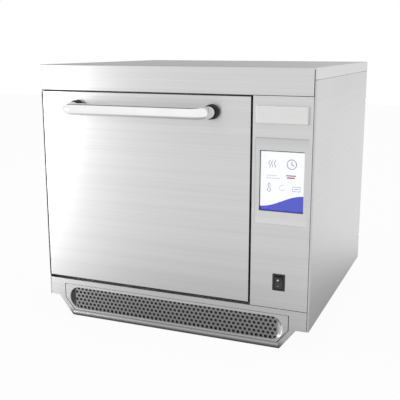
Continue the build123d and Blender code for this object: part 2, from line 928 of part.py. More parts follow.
# Lower front panel: the sheet below the door and the chamfered intake trough with its rolled lip
with BuildPart() as trough_hollow:
    with BuildSketch(facing(front_y + casing_sheet)):
        with BuildLine():
            trough_outline(casing_sheet, base_underside_z + overrun)
        make_face()
    extrude(amount=-(trough_depth - casing_sheet - casing_sheet))
    hollow_edges = trough_hollow.edges().filter_by(Axis.X).group_by(Axis.Z)[0].sort_by(Axis.Y)
    fillet(hollow_edges[0], lip_radius - lip_proud - casing_sheet)

with BuildPart() as rolled_lip:
    lip_place = (0, front_y - lip_proud + lip_radius, case_z - lip_drop + lip_radius)
    with Locations(Location(lip_place, (0, 90, 0))):
        Cylinder(lip_radius, body_width - trough_bottom_inset - trough_bottom_inset)
    fillet(rolled_lip.edges().filter_by(GeomType.CIRCLE), lip_end_round)

with BuildPart() as lower_front_panel:
    with BuildSketch(facing(front_y)):
        with BuildLine():
            trough_outline(0, base_underside_z)
        make_face()
    extrude(amount=-trough_depth)
    lip_edges = lower_front_panel.edges().filter_by(Axis.X).group_by(Axis.Z)[0].sort_by(Axis.Y)
    fillet(lip_edges[0], lip_radius - lip_proud)
    add(trough_hollow.part, mode=Mode.SUBTRACT)
    add(rolled_lip.part)
    slab(panel_left_x, panel_right_x, front_y, front_y + casing_sheet, case_z, lower_panel_top_z)
    slab(
        panel_left_x, panel_right_x, front_y, mouth_y - seat_gap,
        lower_panel_top_z - casing_sheet, lower_panel_top_z,
    )
    with BuildSketch(facing(front_y)):
        with BuildLine():
            filter_outline(0, 0)
        make_face()
    extrude(amount=casing_sheet, both=True, mode=Mode.SUBTRACT)
    magnet_tab_y = front_y + casing_sheet + magnet_thickness
    for side in (-1, 1):
        tab_root_x = side * (right_x - filter_side_inset + magnet_setback)
        web_x = side * (right_x - filter_side_inset + magnet_setback - casing_sheet)
        tab_tip_x = side * (right_x - filter_side_inset - magnet_setback - magnet_radius)
        slab(
            min(tab_root_x, web_x), max(tab_root_x, web_x), front_y, magnet_tab_y + casing_sheet,
            case_z + magnet_heights[0] - magnet_radius, case_z + magnet_heights[-1] + magnet_radius,
        )
        slab(
            min(tab_root_x, tab_tip_x), max(tab_root_x, tab_tip_x),
            magnet_tab_y, magnet_tab_y + casing_sheet,
            case_z + magnet_heights[0] - magnet_radius, case_z + magnet_heights[-1] + magnet_radius,
        )
pieces["lower_front_panel"] = lower_front_panel

# Filter magnets: two at each end, on the tabs of the lower front panel
with BuildPart() as filter_magnets:
    for side in (-1, 1):
        for height in magnet_heights:
            rod(
                side * (right_x - filter_side_inset - magnet_setback), case_z + height,
                front_y + casing_sheet, magnet_tab_y, magnet_radius,
            )
pieces["filter_magnets"] = filter_magnets

# Air filter plate: flush plate with a dished middle, whose floor is perforated in staggered rows
dish_left_x = left_x + filter_side_inset + dish_side_inset
dish_right_x = -dish_left_x
dish_top_z = case_z + filter_top - filter_gap - dish_top_margin
dish_bottom_z = case_z - filter_bottom_drop + filter_gap + dish_bottom_margin
dish_middle_z = (dish_top_z + dish_bottom_z) / 2
dish_floor_y = front_y + dish_depth
dish_floor_width = dish_right_x - dish_left_x - dish_end_slope - dish_end_slope
filter_row_holes = int(dish_floor_width / filter_hole_pitch)
with BuildPart() as dish_hollow:
    with BuildSketch(facing(front_y)):
        rounded_span(dish_left_x, dish_right_x, dish_bottom_z, dish_top_z, dish_corner_radius)
    with BuildSketch(facing(dish_floor_y)):
        rounded_span(
            dish_left_x + dish_end_slope, dish_right_x - dish_end_slope,
            dish_bottom_z + dish_edge_slope, dish_top_z - dish_edge_slope, dish_floor_corner_radius,
        )
    loft()

with BuildPart() as air_filter_frame:
    with BuildSketch(facing(front_y)):
        rounded_span(
            dish_left_x - casing_sheet, dish_right_x + casing_sheet,
            dish_bottom_z, dish_top_z, dish_corner_radius,
        )
    with BuildSketch(facing(dish_floor_y + casing_sheet)):
        rounded_span(
            dish_left_x + dish_end_slope - casing_sheet, dish_right_x - dish_end_slope + casing_sheet,
            dish_bottom_z, dish_top_z, dish_floor_corner_radius + casing_sheet,
        )
    loft()
    with BuildSketch(facing(front_y)):
        with BuildLine():
            filter_outline(filter_gap, filter_side_gap)
        make_face()
    extrude(amount=-casing_sheet)
    add(dish_hollow.part, mode=Mode.SUBTRACT)
    with BuildSketch(facing(dish_floor_y)):
        for row in range(filter_row_count):
            row_z = dish_middle_z + (row - (filter_row_count - 1) / 2) * filter_row_pitch
            with Locations((0, row_z)):
                with GridLocations(filter_hole_pitch, filter_row_pitch, filter_row_holes - row % 2, 1):
                    Circle(filter_hole_radius)
    extrude(amount=-(casing_sheet + overrun), mode=Mode.SUBTRACT)
pieces["air_filter_frame"] = air_filter_frame

# Fine wire mesh pad, clipped behind the perforated floor
with BuildPart() as air_filter_mesh:
    with BuildSketch(facing(dish_floor_y + casing_sheet)):
        rounded_span(
            dish_left_x + dish_end_slope + filter_mesh_margin,
            dish_right_x - dish_end_slope - filter_mesh_margin,
            dish_bottom_z + dish_edge_slope + filter_mesh_margin,
            dish_top_z - dish_edge_slope - filter_mesh_margin, dish_floor_corner_radius,
        )
    extrude(amount=-filter_mesh_thickness)
pieces["air_filter_mesh"] = air_filter_mesh

# Door outer skin: a shallow box, open to the rear, notched below for the hinge arms
with BuildPart() as door_outer_skin:
    with BuildSketch(facing(front_y)):
        span(door_left_x, door_right_x, door_bottom_z, door_top_z)
    extrude(amount=-door_return)
    fillet(door_outer_skin.faces().sort_by(Axis.Y)[0].edges(), door_corner_round)
    slab(
        door_left_x + door_sheet, door_right_x - door_sheet, front_y + door_sheet,
        front_y + door_return + overrun, door_bottom_z + door_sheet, door_top_z - door_sheet,
        mode=Mode.SUBTRACT,
    )
    for arm_x in hinge_arm_xs:
        slab(
            arm_x - hinge_slot_clearance, arm_x + hinge_arm_width + hinge_slot_clearance,
            hinge_y - hinge_arm_radius - hinge_side_gap, front_y + door_return + overrun,
            door_bottom_z - overrun, door_bottom_z + door_sheet + overrun,
            mode=Mode.SUBTRACT,
        )
    for leg_x in handle_xs:
        rod(
            leg_x, handle_z, front_y - overrun, front_y + door_sheet + overrun,
            handle_screw_radius + seat_gap, mode=Mode.SUBTRACT,
        )
pieces["door_outer_skin"] = door_outer_skin

# Door inner panel: closes the skin at the rear and carries the choke ring round the oven mouth
door_inner_left_x = door_left_x + door_sheet
door_inner_right_x = door_right_x - door_sheet
door_inner_bottom_z = door_bottom_z + door_sheet
door_inner_top_z = door_top_z - door_sheet
with BuildPart() as door_inner_panel:
    slab(
        door_inner_left_x, door_inner_right_x, door_back_y - door_inner_return, door_back_y,
        door_inner_bottom_z, door_inner_top_z,
    )
    slab(
        door_inner_left_x + door_sheet, door_inner_right_x - door_sheet,
        door_back_y - door_inner_return - overrun, door_back_y - door_sheet,
        door_inner_bottom_z + door_sheet, door_inner_top_z - door_sheet,
        mode=Mode.SUBTRACT,
    )
    with BuildSketch(facing(door_back_y)):
        with Locations((door_middle_x, cavity_middle_z)):
            Rectangle(cavity_width + 2 * choke_border, cavity_height + 2 * choke_border)
            Rectangle(
                cavity_width + 2 * (choke_border - choke_width),
                cavity_height + 2 * (choke_border - choke_width),
                mode=Mode.SUBTRACT,
            )
    extrude(amount=-choke_rise)
    for arm_x in hinge_arm_xs:
        slab(
            arm_x - hinge_slot_clearance, arm_x + hinge_arm_width + hinge_slot_clearance,
            door_back_y - door_inner_return - overrun, door_back_y + overrun,
            door_bottom_z - overrun, hinge_z + hinge_arm_radius + hinge_slot_clearance,
            mode=Mode.SUBTRACT,
        )
pieces["door_inner_panel"] = door_inner_panel

with BuildPart() as door_seal:
    with BuildSketch(facing(door_back_y)):
        with Locations((door_middle_x, cavity_middle_z)):
            RectangleRounded(
                cavity_width + 2 * (seal_inset + seal_width), cavity_height + 2 * (seal_inset + seal_width),
                seal_inset + seal_width,
            )
            RectangleRounded(
                cavity_width + 2 * seal_inset, cavity_height + 2 * seal_inset, seal_inset,
                mode=Mode.SUBTRACT,
            )
    extrude(amount=-(mouth_y - seal_clearance - door_back_y))
pieces["door_seal"] = door_seal

with BuildPart() as door_insulation:
    slab(
        door_inner_left_x + door_sheet + insulation_clearance,
        door_inner_right_x - door_sheet - insulation_clearance,
        front_y + door_sheet, door_back_y - door_sheet,
        door_bottom_z + door_sheet + hinge_block_height + insulation_clearance,
        door_inner_top_z - door_sheet - insulation_clearance,
    )
    for leg_x in handle_xs:
        rod(
            leg_x, handle_z, front_y, front_y + door_sheet + handle_screw_head_height + seat_gap,
            handle_screw_head_radius + seat_gap, mode=Mode.SUBTRACT,
        )
pieces["door_insulation"] = door_insulation

# Hinges: blocks and pins in the door, arms on the front frame
with BuildPart() as door_hinge_blocks:
    for arm_x in hinge_arm_xs:
        slab(
            arm_x - hinge_side_gap - hinge_cheek, arm_x + hinge_arm_width + hinge_side_gap + hinge_cheek,
            front_y + door_sheet, front_y + door_sheet + hinge_block_depth,
            door_bottom_z + door_sheet, door_bottom_z + door_sheet + hinge_block_height,
        )
        slab(
            arm_x - hinge_side_gap, arm_x + hinge_arm_width + hinge_side_gap,
            front_y + door_sheet + hinge_web, front_y + door_sheet + hinge_block_depth + overrun,
            door_bottom_z - overrun, hinge_z + hinge_arm_radius + hinge_side_gap,
            mode=Mode.SUBTRACT,
        )
    with Locations(Location((door_middle_x, hinge_y, hinge_z), (0, 90, 0))):
        Cylinder(hinge_pin_radius + hinge_fit, door_width, mode=Mode.SUBTRACT)
pieces["door_hinge_blocks"] = door_hinge_blocks

with BuildPart() as hinge_pins:
    for arm_x in hinge_arm_xs:
        with Locations(Location((arm_x + hinge_arm_width / 2, hinge_y, hinge_z), (0, 90, 0))):
            Cylinder(hinge_pin_radius, hinge_arm_width + 2 * (hinge_side_gap + hinge_cheek))
pieces["hinge_pins"] = hinge_pins

with BuildPart() as hinge_arms:
    for arm_x in hinge_arm_xs:
        with BuildSketch(Plane(origin=(arm_x, 0, 0), x_dir=(0, 1, 0), z_dir=(1, 0, 0))):
            with Locations((hinge_y, hinge_z)):
                Circle(hinge_arm_radius)
            span(hinge_y, frame_back_y, hinge_z - hinge_arm_radius, hinge_z + hinge_arm_radius)
            with Locations((hinge_y, hinge_z)):
                Circle(hinge_pin_radius + hinge_fit, mode=Mode.SUBTRACT)
        extrude(amount=hinge_arm_width)
        foot_side = (hinge_foot_width - hinge_arm_width) / 2
        slab(
            arm_x - foot_side, arm_x + hinge_arm_width + foot_side,
            frame_back_y, frame_back_y + hinge_foot_sheet,
            hinge_z - hinge_foot_height / 2, hinge_z + hinge_foot_height / 2,
        )
pieces["hinge_arms"] = hinge_arms

# Door handle: a round tube with bent ends, plugged for the screws, on two black bushes
handle_root_y = front_y - bush_floor
handle_front_y = front_y - handle_centre_reach
with BuildPart() as handle_hollow:
    with BuildLine():
        FilletPolyline(
            (handle_xs[0], handle_root_y - handle_plug_length, handle_z),
            (handle_xs[0], handle_front_y, handle_z),
            (handle_xs[1], handle_front_y, handle_z),
            (handle_xs[1], handle_root_y - handle_plug_length, handle_z),
            radius=handle_bend_radius,
        )
    with BuildSketch(facing(handle_root_y - handle_plug_length)):
        with Locations((handle_xs[0], handle_z)):
            Circle(handle_radius - handle_wall)
    sweep()

with BuildPart() as handle_bar:
    with BuildLine():
        FilletPolyline(
            (handle_xs[0], handle_root_y, handle_z),
            (handle_xs[0], handle_front_y, handle_z),
            (handle_xs[1], handle_front_y, handle_z),
            (handle_xs[1], handle_root_y, handle_z),
            radius=handle_bend_radius,
        )
    with BuildSketch(facing(handle_root_y)):
        with Locations((handle_xs[0], handle_z)):
            Circle(handle_radius)
    sweep()
    add(handle_hollow.part, mode=Mode.SUBTRACT)
    for leg_x in handle_xs:
        rod(
            leg_x, handle_z, handle_root_y - handle_screw_length, handle_root_y + overrun,
            handle_screw_radius + bush_fit, mode=Mode.SUBTRACT,
        )
pieces["handle_bar"] = handle_bar

with BuildPart() as handle_bushes:
    for leg_x in handle_xs:
        with Locations(Location((leg_x, front_y - bush_length / 2, handle_z), (90, 0, 0))):
            Cone(bush_radius, bush_face_radius, bush_length)
        rod(
            leg_x, handle_z, front_y - bush_length - overrun, handle_root_y,
            handle_radius + bush_fit, mode=Mode.SUBTRACT,
        )
        rod(
            leg_x, handle_z, front_y - bush_length, front_y + overrun,
            handle_screw_radius + seat_gap, mode=Mode.SUBTRACT,
        )
pieces["handle_bushes"] = handle_bushes

with BuildPart() as handle_screws:
    for leg_x in handle_xs:
        rod(
            leg_x, handle_z, handle_root_y - handle_screw_length + seat_gap, front_y + door_sheet,
            handle_screw_radius,
        )
        rod(
            leg_x, handle_z, front_y + door_sheet, front_y + door_sheet + handle_screw_head_height,
            handle_screw_head_radius,
        )
pieces["handle_screws"] = handle_screws

# Cavity: a welded box with a front flange, open to the stirrer below and to the steam outlet
fan_x = door_middle_x
fan_z = cavity_middle_z
heater_leg_z = fan_z - heater_ring_radius
heater_leg_xs = (fan_x - heater_leg_spacing / 2, fan_x + heater_leg_spacing / 2)
with BuildPart() as cavity:
    slab(
        cavity_left_x - cavity_sheet, cavity_right_x + cavity_sheet, frame_back_y, cavity_outer_back_y,
        cavity_underside_z, cavity_roof_z + cavity_sheet,
    )
    slab(
        cavity_left_x - cavity_flange, cavity_right_x + cavity_flange,
        frame_back_y, frame_back_y + cavity_sheet,
        cavity_floor_z - cavity_flange, cavity_roof_z + cavity_flange,
    )
    slab(
        cavity_left_x, cavity_right_x, frame_back_y - overrun, cavity_back_y,
        cavity_floor_z, cavity_roof_z, mode=Mode.SUBTRACT,
    )
    post(
        stirrer_x, waveguide_y, cavity_underside_z - overrun, cavity_floor_z + overrun,
        stirrer_mouth_radius, mode=Mode.SUBTRACT,
    )
    wall_y = cavity_outer_back_y + overrun
    rod(fan_x, fan_z, cavity_back_y - overrun, wall_y, fan_shaft_hole_radius, mode=Mode.SUBTRACT)
    rod(
        steam_x, steam_z, cavity_back_y - overrun, wall_y, steam_tube_radius - steam_tube_wall / 2,
        mode=Mode.SUBTRACT,
    )
    for leg_x in heater_leg_xs:
        rod(
            leg_x, heater_leg_z, cavity_back_y - overrun, wall_y,
            heater_rod_radius + heater_leg_clearance, mode=Mode.SUBTRACT,
        )
pieces["cavity"] = cavity

with BuildPart() as ceramic_floor:
    with BuildSketch(Plane.XY.offset(cavity_floor_z)):
        rounded_span(
            cavity_left_x + ceramic_gap, cavity_right_x - ceramic_gap,
            frame_back_y + ceramic_gap, baffle_y - ceramic_gap, ceramic_corner_radius,
        )
    extrude(amount=ceramic_thickness)
pieces["ceramic_floor"] = ceramic_floor

ceramic_top_z = cavity_floor_z + ceramic_thickness
with BuildPart() as cook_plate:
    with BuildSketch(Plane.XY.offset(ceramic_top_z)):
        rounded_span(
            cavity_left_x + cook_plate_margin, cavity_right_x - cook_plate_margin,
            frame_back_y + cook_plate_margin, baffle_y - cook_plate_margin, cook_plate_corner_radius,
        )
    extrude(amount=cook_plate_rim_height)
    with BuildSketch(Plane.XY.offset(ceramic_top_z + cook_plate_thickness)):
        rounded_span(
            cavity_left_x + cook_plate_margin + cook_plate_thickness,
            cavity_right_x - cook_plate_margin - cook_plate_thickness,
            frame_back_y + cook_plate_margin + cook_plate_thickness,
            baffle_y - cook_plate_margin - cook_plate_thickness,
            cook_plate_corner_radius - cook_plate_thickness,
        )
    extrude(amount=cook_plate_rim_height, mode=Mode.SUBTRACT)
pieces["cook_plate"] = cook_plate

with BuildPart() as rear_baffle:
    with BuildSketch(facing(baffle_y)):
        span(cavity_left_x + seat_gap, cavity_right_x - seat_gap, cavity_floor_z, cavity_roof_z - seat_gap)
        with Locations((fan_x, fan_z)):
            with GridLocations(baffle_hole_pitch, baffle_hole_pitch, baffle_columns, baffle_rows):
                Circle(baffle_hole_radius, mode=Mode.SUBTRACT)
    extrude(amount=-cavity_sheet)
pieces["rear_baffle"] = rear_baffle

# Convection fan on its shaft, heater ring round it, motor behind the insulation
fan_back_y = cavity_back_y - fan_setback
fan_plate_y = fan_back_y - fan_plate_thickness
with BuildPart() as convection_fan:
    rod(fan_x, fan_z, fan_plate_y, fan_back_y, fan_radius)
    rod(fan_x, fan_z, fan_back_y - fan_hub_length, fan_back_y, fan_hub_radius)
    with BuildSketch(facing(fan_plate_y)):
        with Locations((fan_x, fan_z)):
            with PolarLocations(fan_radius - fan_blade_length / 2, fan_blade_count):
                Rectangle(fan_blade_length, fan_blade_thickness)
    extrude(amount=fan_blade_height)
    rod(fan_x, fan_z, fan_back_y, motor_plate_y + fan_shaft_grip, fan_shaft_radius)
pieces["convection_fan"] = convection_fan

with BuildPart() as heater_element:
    with Locations(Location((fan_x, fan_back_y - fan_blade_height / 2, fan_z), (90, 0, 0))):
        Torus(heater_ring_radius, heater_rod_radius)
    for leg_x in heater_leg_xs:
        rod(
            leg_x, heater_leg_z, fan_back_y - fan_blade_height / 2, jacket_back_y + heater_leg_tail,
            heater_rod_radius,
        )
    slab(
        fan_x - heater_leg_spacing, fan_x + heater_leg_spacing,
        cavity_back_y - heater_flange_sheet, cavity_back_y,
        heater_leg_z - heater_flange_height / 2, heater_leg_z + heater_flange_height / 2,
    )
pieces["heater_element"] = heater_element

with BuildPart() as fan_motor:
    rod(fan_x, fan_z, motor_plate_y, motor_plate_y + motor_plate_thickness, motor_plate_radius)
    rod(fan_x, fan_z, motor_plate_y, motor_plate_y + motor_plate_thickness + motor_length, motor_radius)
    rod(fan_x, fan_z, motor_plate_y - motor_boss_length, motor_plate_y, motor_boss_radius)
    rod(
        fan_x, fan_z, motor_plate_y - motor_boss_length - overrun,
        motor_plate_y + fan_shaft_grip + seat_gap, fan_shaft_radius + motor_fit, mode=Mode.SUBTRACT,
    )
pieces["fan_motor"] = fan_motor

with BuildPart() as motor_standoffs:
    with BuildSketch(facing(cavity_outer_back_y)):
        with Locations((fan_x, fan_z)):
            with PolarLocations(standoff_ring_radius, standoff_count, start_angle=90):
                Circle(standoff_radius)
    extrude(amount=-(motor_plate_y - cavity_outer_back_y))
pieces["motor_standoffs"] = motor_standoffs

with BuildPart() as steam_outlet:
    rod(steam_x, steam_z, cavity_outer_back_y, back_y + rear_reach, steam_tube_radius)
    rod(steam_x, steam_z, back_y, back_y + steam_flange_thickness, steam_flange_radius)
    rod(
        steam_x, steam_z, cavity_outer_back_y - overrun, back_y + rear_reach + overrun,
        steam_tube_radius - steam_tube_wall, mode=Mode.SUBTRACT,
    )
pieces["steam_outlet"] = steam_outlet

with BuildPart() as cavity_insulation:
    jacket_side = cavity_sheet + jacket_gap + jacket_thickness
    slab(
        cavity_left_x - jacket_side, cavity_right_x + jacket_side,
        frame_back_y + cavity_sheet, jacket_back_y,
        cavity_floor_z - jacket_side, cavity_roof_z + jacket_side,
    )
    slab(
        cavity_left_x - cavity_sheet - jacket_gap, cavity_right_x + cavity_sheet + jacket_gap,
        frame_back_y - overrun, cavity_outer_back_y + jacket_gap,
        cavity_underside_z - jacket_gap, cavity_roof_z + cavity_sheet + jacket_gap,
        mode=Mode.SUBTRACT,
    )
    slab(
        stirrer_x - waveguide_left_overlap - jacket_gap, cavity_right_x + jacket_side + overrun,
        waveguide_y - waveguide_width / 2 - jacket_gap, waveguide_y + waveguide_width / 2 + jacket_gap,
        jacket_bottom_z - overrun, cavity_floor_z, mode=Mode.SUBTRACT,
    )
    jacket_front_y = cavity_outer_back_y - overrun
    rod(fan_x, fan_z, jacket_front_y, jacket_back_y + overrun, fan_shaft_hole_radius, mode=Mode.SUBTRACT)
    rod(
        steam_x, steam_z, jacket_front_y, jacket_back_y + overrun, steam_tube_radius + jacket_gap,
        mode=Mode.SUBTRACT,
    )
    for leg_x in heater_leg_xs:
        rod(
            leg_x, heater_leg_z, jacket_front_y, jacket_back_y + overrun,
            heater_rod_radius + heater_leg_clearance, mode=Mode.SUBTRACT,
        )
    with BuildSketch(facing(jacket_front_y)):
        with Locations((fan_x, fan_z)):
            with PolarLocations(standoff_ring_radius, standoff_count, start_angle=90):
                Circle(standoff_radius + jacket_gap)
    extrude(amount=-(jacket_back_y + overrun - jacket_front_y), mode=Mode.SUBTRACT)
pieces["cavity_insulation"] = cavity_insulation

# Interlock: plungers through the front frame, pressed by the closed door, and their switches
interlock_z = door_bottom_z + interlock_rise
interlock_xs = (door_middle_x - interlock_spread, door_middle_x, door_middle_x + interlock_spread)
plunger_tip_y = door_back_y + plunger_door_gap
plunger_end_y = plunger_tip_y + plunger_length
with BuildPart() as interlock_plungers:
    for plunger_x in interlock_xs:
        rod(plunger_x, interlock_z, plunger_tip_y, plunger_end_y, plunger_radius)
        rod(plunger_x, interlock_z, plunger_end_y - plunger_head_length, plunger_end_y, plunger_head_radius)
pieces["interlock_plungers"] = interlock_plungers

with BuildPart() as interlock_brackets:
    for plunger_x in interlock_xs:
        slab(
            plunger_x - interlock_bracket_width / 2, plunger_x + interlock_bracket_width / 2,
            frame_back_y, plunger_end_y + microswitch_depth + casing_sheet,
            interlock_z - microswitch_height / 2 - casing_sheet, interlock_z - microswitch_height / 2,
        )
        slab(
            plunger_x - interlock_bracket_width / 2, plunger_x + interlock_bracket_width / 2,
            frame_back_y, frame_back_y + casing_sheet,
            interlock_z - interlock_bracket_height, interlock_z - microswitch_height / 2,
        )
pieces["interlock_brackets"] = interlock_brackets

with BuildPart() as interlock_switches:
    for plunger_x in interlock_xs:
        slab(
            plunger_x - microswitch_width / 2, plunger_x + microswitch_width / 2,
            plunger_end_y + plunger_door_gap, plunger_end_y + microswitch_depth,
            interlock_z - microswitch_height / 2, interlock_z + microswitch_height / 2,
        )
pieces["interlock_switches"] = interlock_switches

# Waveguide from the magnetron to the stirrer under the cavity floor
with BuildPart() as waveguide:
    slab(
        stirrer_x - waveguide_left_overlap, waveguide_right_x,
        waveguide_y - waveguide_width / 2, waveguide_y + waveguide_width / 2,
        waveguide_bottom_z, waveguide_top_z,
    )
    slab(
        stirrer_x - waveguide_left_overlap + waveguide_sheet, waveguide_right_x - waveguide_sheet,
        waveguide_y - waveguide_width / 2 + waveguide_sheet,
        waveguide_y + waveguide_width / 2 - waveguide_sheet,
        waveguide_bottom_z + waveguide_sheet, waveguide_top_z - waveguide_sheet,
        mode=Mode.SUBTRACT,
    )
    post(
        stirrer_x, waveguide_y, waveguide_top_z - waveguide_sheet - overrun, waveguide_top_z + overrun,
        stirrer_mouth_radius, mode=Mode.SUBTRACT,
    )
    post(
        stirrer_x, waveguide_y, waveguide_bottom_z - overrun, waveguide_bottom_z + waveguide_sheet + overrun,
        stirrer_shaft_radius + stirrer_shaft_clearance, mode=Mode.SUBTRACT,
    )
    post(
        magnetron_x, waveguide_y, waveguide_top_z - waveguide_sheet - overrun, waveguide_top_z + overrun,
        antenna_radius + seat_gap, mode=Mode.SUBTRACT,
    )
pieces["waveguide"] = waveguide

with BuildPart() as magnetron:
    magnetron_fins_z = waveguide_top_z + magnetron_base_thickness
    magnetron_filter_z = waveguide_top_z + magnetron_height - magnetron_filter_height
    slab(
        magnetron_x - magnetron_width / 2, magnetron_x + magnetron_width / 2,
        waveguide_y - magnetron_length / 2, waveguide_y + magnetron_length / 2,
        waveguide_top_z, magnetron_fins_z,
    )
    post(magnetron_x, waveguide_y, magnetron_fins_z, magnetron_filter_z, magnetron_core_radius)
    for fin in range(magnetron_fin_count):
        fin_z = magnetron_fins_z + (fin + 1) * magnetron_fin_pitch
        slab(
            magnetron_x - magnetron_width / 2 + magnetron_fin_thickness,
            magnetron_x + magnetron_width / 2 - magnetron_fin_thickness,
            waveguide_y - magnetron_core_radius - magnetron_fin_pitch,
            waveguide_y + magnetron_core_radius + magnetron_fin_pitch,
            fin_z - magnetron_fin_thickness, fin_z,
        )
    for side in (-1, 1):
        outer_x = magnetron_x + side * magnetron_width / 2
        inner_x = outer_x - side * magnetron_fin_thickness
        slab(
            min(outer_x, inner_x), max(outer_x, inner_x),
            waveguide_y - magnetron_core_radius - magnetron_fin_pitch,
            waveguide_y + magnetron_core_radius + magnetron_fin_pitch,
            magnetron_fins_z, magnetron_filter_z,
        )
    slab(
        magnetron_x - magnetron_width / 2, magnetron_x + magnetron_width / 2,
        waveguide_y - magnetron_core_radius - magnetron_fin_pitch,
        waveguide_y + magnetron_core_radius + magnetron_fin_pitch,
        magnetron_filter_z, waveguide_top_z + magnetron_height,
    )
    post(magnetron_x, waveguide_y, waveguide_top_z - antenna_drop, waveguide_top_z, antenna_radius)
pieces["magnetron"] = magnetron

stirrer_hub_z = waveguide_bottom_z + waveguide_sheet + stirrer_lift
with BuildPart() as stirrer:
    post(stirrer_x, waveguide_y, stirrer_hub_z, stirrer_hub_z + stirrer_hub_height, stirrer_hub_radius)
    with Locations((stirrer_x, waveguide_y, stirrer_hub_z + stirrer_hub_height / 2)):
        with PolarLocations((stirrer_hub_radius + stirrer_blade_length) / 2, stirrer_blade_count):
            Box(
                stirrer_blade_length, stirrer_blade_width, stirrer_blade_thickness,
                rotation=(stirrer_blade_pitch, 0, 0),
            )
    post(
        stirrer_x, waveguide_y, waveguide_bottom_z - stirrer_motor_height + waveguide_sheet + seat_gap,
        stirrer_hub_z, stirrer_shaft_radius,
    )
pieces["stirrer"] = stirrer

with BuildPart() as stirrer_motor:
    post(
        stirrer_x, waveguide_y, waveguide_bottom_z - stirrer_motor_height, waveguide_bottom_z,
        stirrer_motor_radius,
    )
    post(
        stirrer_x, waveguide_y, waveguide_bottom_z - stirrer_motor_height + waveguide_sheet,
        waveguide_bottom_z + overrun, stirrer_shaft_radius + stirrer_fit, mode=Mode.SUBTRACT,
    )
pieces["stirrer_motor"] = stirrer_motor

# High-voltage transformer and capacitor on the base plate
core_left_x = left_x + transformer_left
core_middle_x = core_left_x + transformer_width / 2
core_front_y = front_y + transformer_setback
core_middle_z = base_top_z + transformer_height / 2
window_shift = (transformer_width / 2 - transformer_window_width) / 2 + transformer_window_width / 2
with BuildPart() as transformer_core:
    with BuildSketch(facing(core_front_y)):
        span(core_left_x, core_left_x + transformer_width, base_top_z, base_top_z + transformer_height)
        for side in (-1, 1):
            with Locations((core_middle_x + side * window_shift, core_middle_z)):
                Rectangle(transformer_window_width, transformer_window_height, mode=Mode.SUBTRACT)
    extrude(amount=-transformer_depth)
pieces["transformer_core"] = transformer_core

limb_half_width = window_shift - transformer_window_width / 2
with BuildPart() as transformer_windings:
    slab(
        core_middle_x - window_shift - transformer_window_width / 2 + winding_gap,
        core_middle_x + window_shift + transformer_window_width / 2 - winding_gap,
        core_front_y - winding_overhang, core_front_y + transformer_depth + winding_overhang,
        core_middle_z - transformer_window_height / 2 + winding_gap,
        core_middle_z + transformer_window_height / 2 - winding_gap,
    )
    fillet(transformer_windings.edges().filter_by(Axis.Z), winding_overhang / 2)
    slab(
        core_middle_x - limb_half_width, core_middle_x + limb_half_width,
        core_front_y - seat_gap, core_front_y + transformer_depth + seat_gap,
        base_top_z, base_top_z + transformer_height,
        mode=Mode.SUBTRACT,
    )
pieces["transformer_windings"] = transformer_windings

capacitor_x = left_x + capacitor_left + capacitor_width / 2
capacitor_y = front_y + capacitor_setback + capacitor_depth / 2
with BuildPart() as capacitor:
    with BuildSketch(Plane.XY.offset(base_top_z)):
        with Locations((capacitor_x, capacitor_y)):
            SlotOverall(capacitor_width, capacitor_depth)
    extrude(amount=capacitor_height)
    for side in (-1, 1):
        post(
            capacitor_x + side * capacitor_terminal_spacing / 2, capacitor_y,
            base_top_z + capacitor_height, base_top_z + capacitor_height + capacitor_terminal_height,
            capacitor_terminal_radius,
        )
pieces["capacitor"] = capacitor

# Cooling fans: square frames against the rear panel, rotors on their pins
cooler_z = case_z + cooler_centre_height
cooler_xs = tuple(left_x + cooler_left + cooler_size / 2 for cooler_left in cooler_lefts)
with BuildPart() as cooling_fan_frames:
    for cooler_x in cooler_xs:
        with BuildSketch(facing(rear_inner_y)):
            with Locations((cooler_x, cooler_z)):
                RectangleRounded(cooler_size, cooler_size, cooler_corner_radius)
                Circle(cooler_bore_radius, mode=Mode.SUBTRACT)
        extrude(amount=cooler_depth)
        with BuildSketch(facing(rear_inner_y)):
            with Locations((cooler_x, cooler_z)):
                Rectangle(cooler_size, cooler_strut_width)
                Rectangle(cooler_strut_width, cooler_size)
                Circle(cooler_hub_radius)
        extrude(amount=cooler_strut_depth)
        rod(cooler_x, cooler_z, rear_inner_y - cooler_hub_depth, rear_inner_y, cooler_hub_radius)
        rod(
            cooler_x, cooler_z, rear_inner_y - cooler_hub_depth - cooler_pin_length,
            rear_inner_y - cooler_hub_depth, cooler_pin_radius,
        )
pieces["cooling_fan_frames"] = cooling_fan_frames

rotor_back_y = rear_inner_y - cooler_hub_depth - seat_gap
rotor_blade_middle = rotor_cup_radius + rotor_blade_reach / 2 - rotor_blade_thickness
for cooler_x, rotor_name in zip(cooler_xs, ("left_rotor", "right_rotor")):
    with BuildPart() as rotor:
        rod(cooler_x, cooler_z, rotor_back_y - rotor_cup_length, rotor_back_y, rotor_cup_radius)
        rotor_centre = (cooler_x, rotor_back_y - rotor_cup_length / 2, cooler_z)
        with Locations(Plane(origin=rotor_centre, x_dir=(1, 0, 0), z_dir=(0, -1, 0))):
            with PolarLocations(rotor_blade_middle, rotor_blade_count):
                Box(
                    rotor_blade_reach, rotor_blade_thickness, rotor_blade_chord,
                    rotation=(rotor_blade_pitch, 0, 0),
                )
        rod(
            cooler_x, cooler_z, rotor_back_y - cooler_pin_length - seat_gap, rotor_back_y + overrun,
            cooler_pin_radius + cooler_fit, mode=Mode.SUBTRACT,
        )
    pieces[rotor_name] = rotor

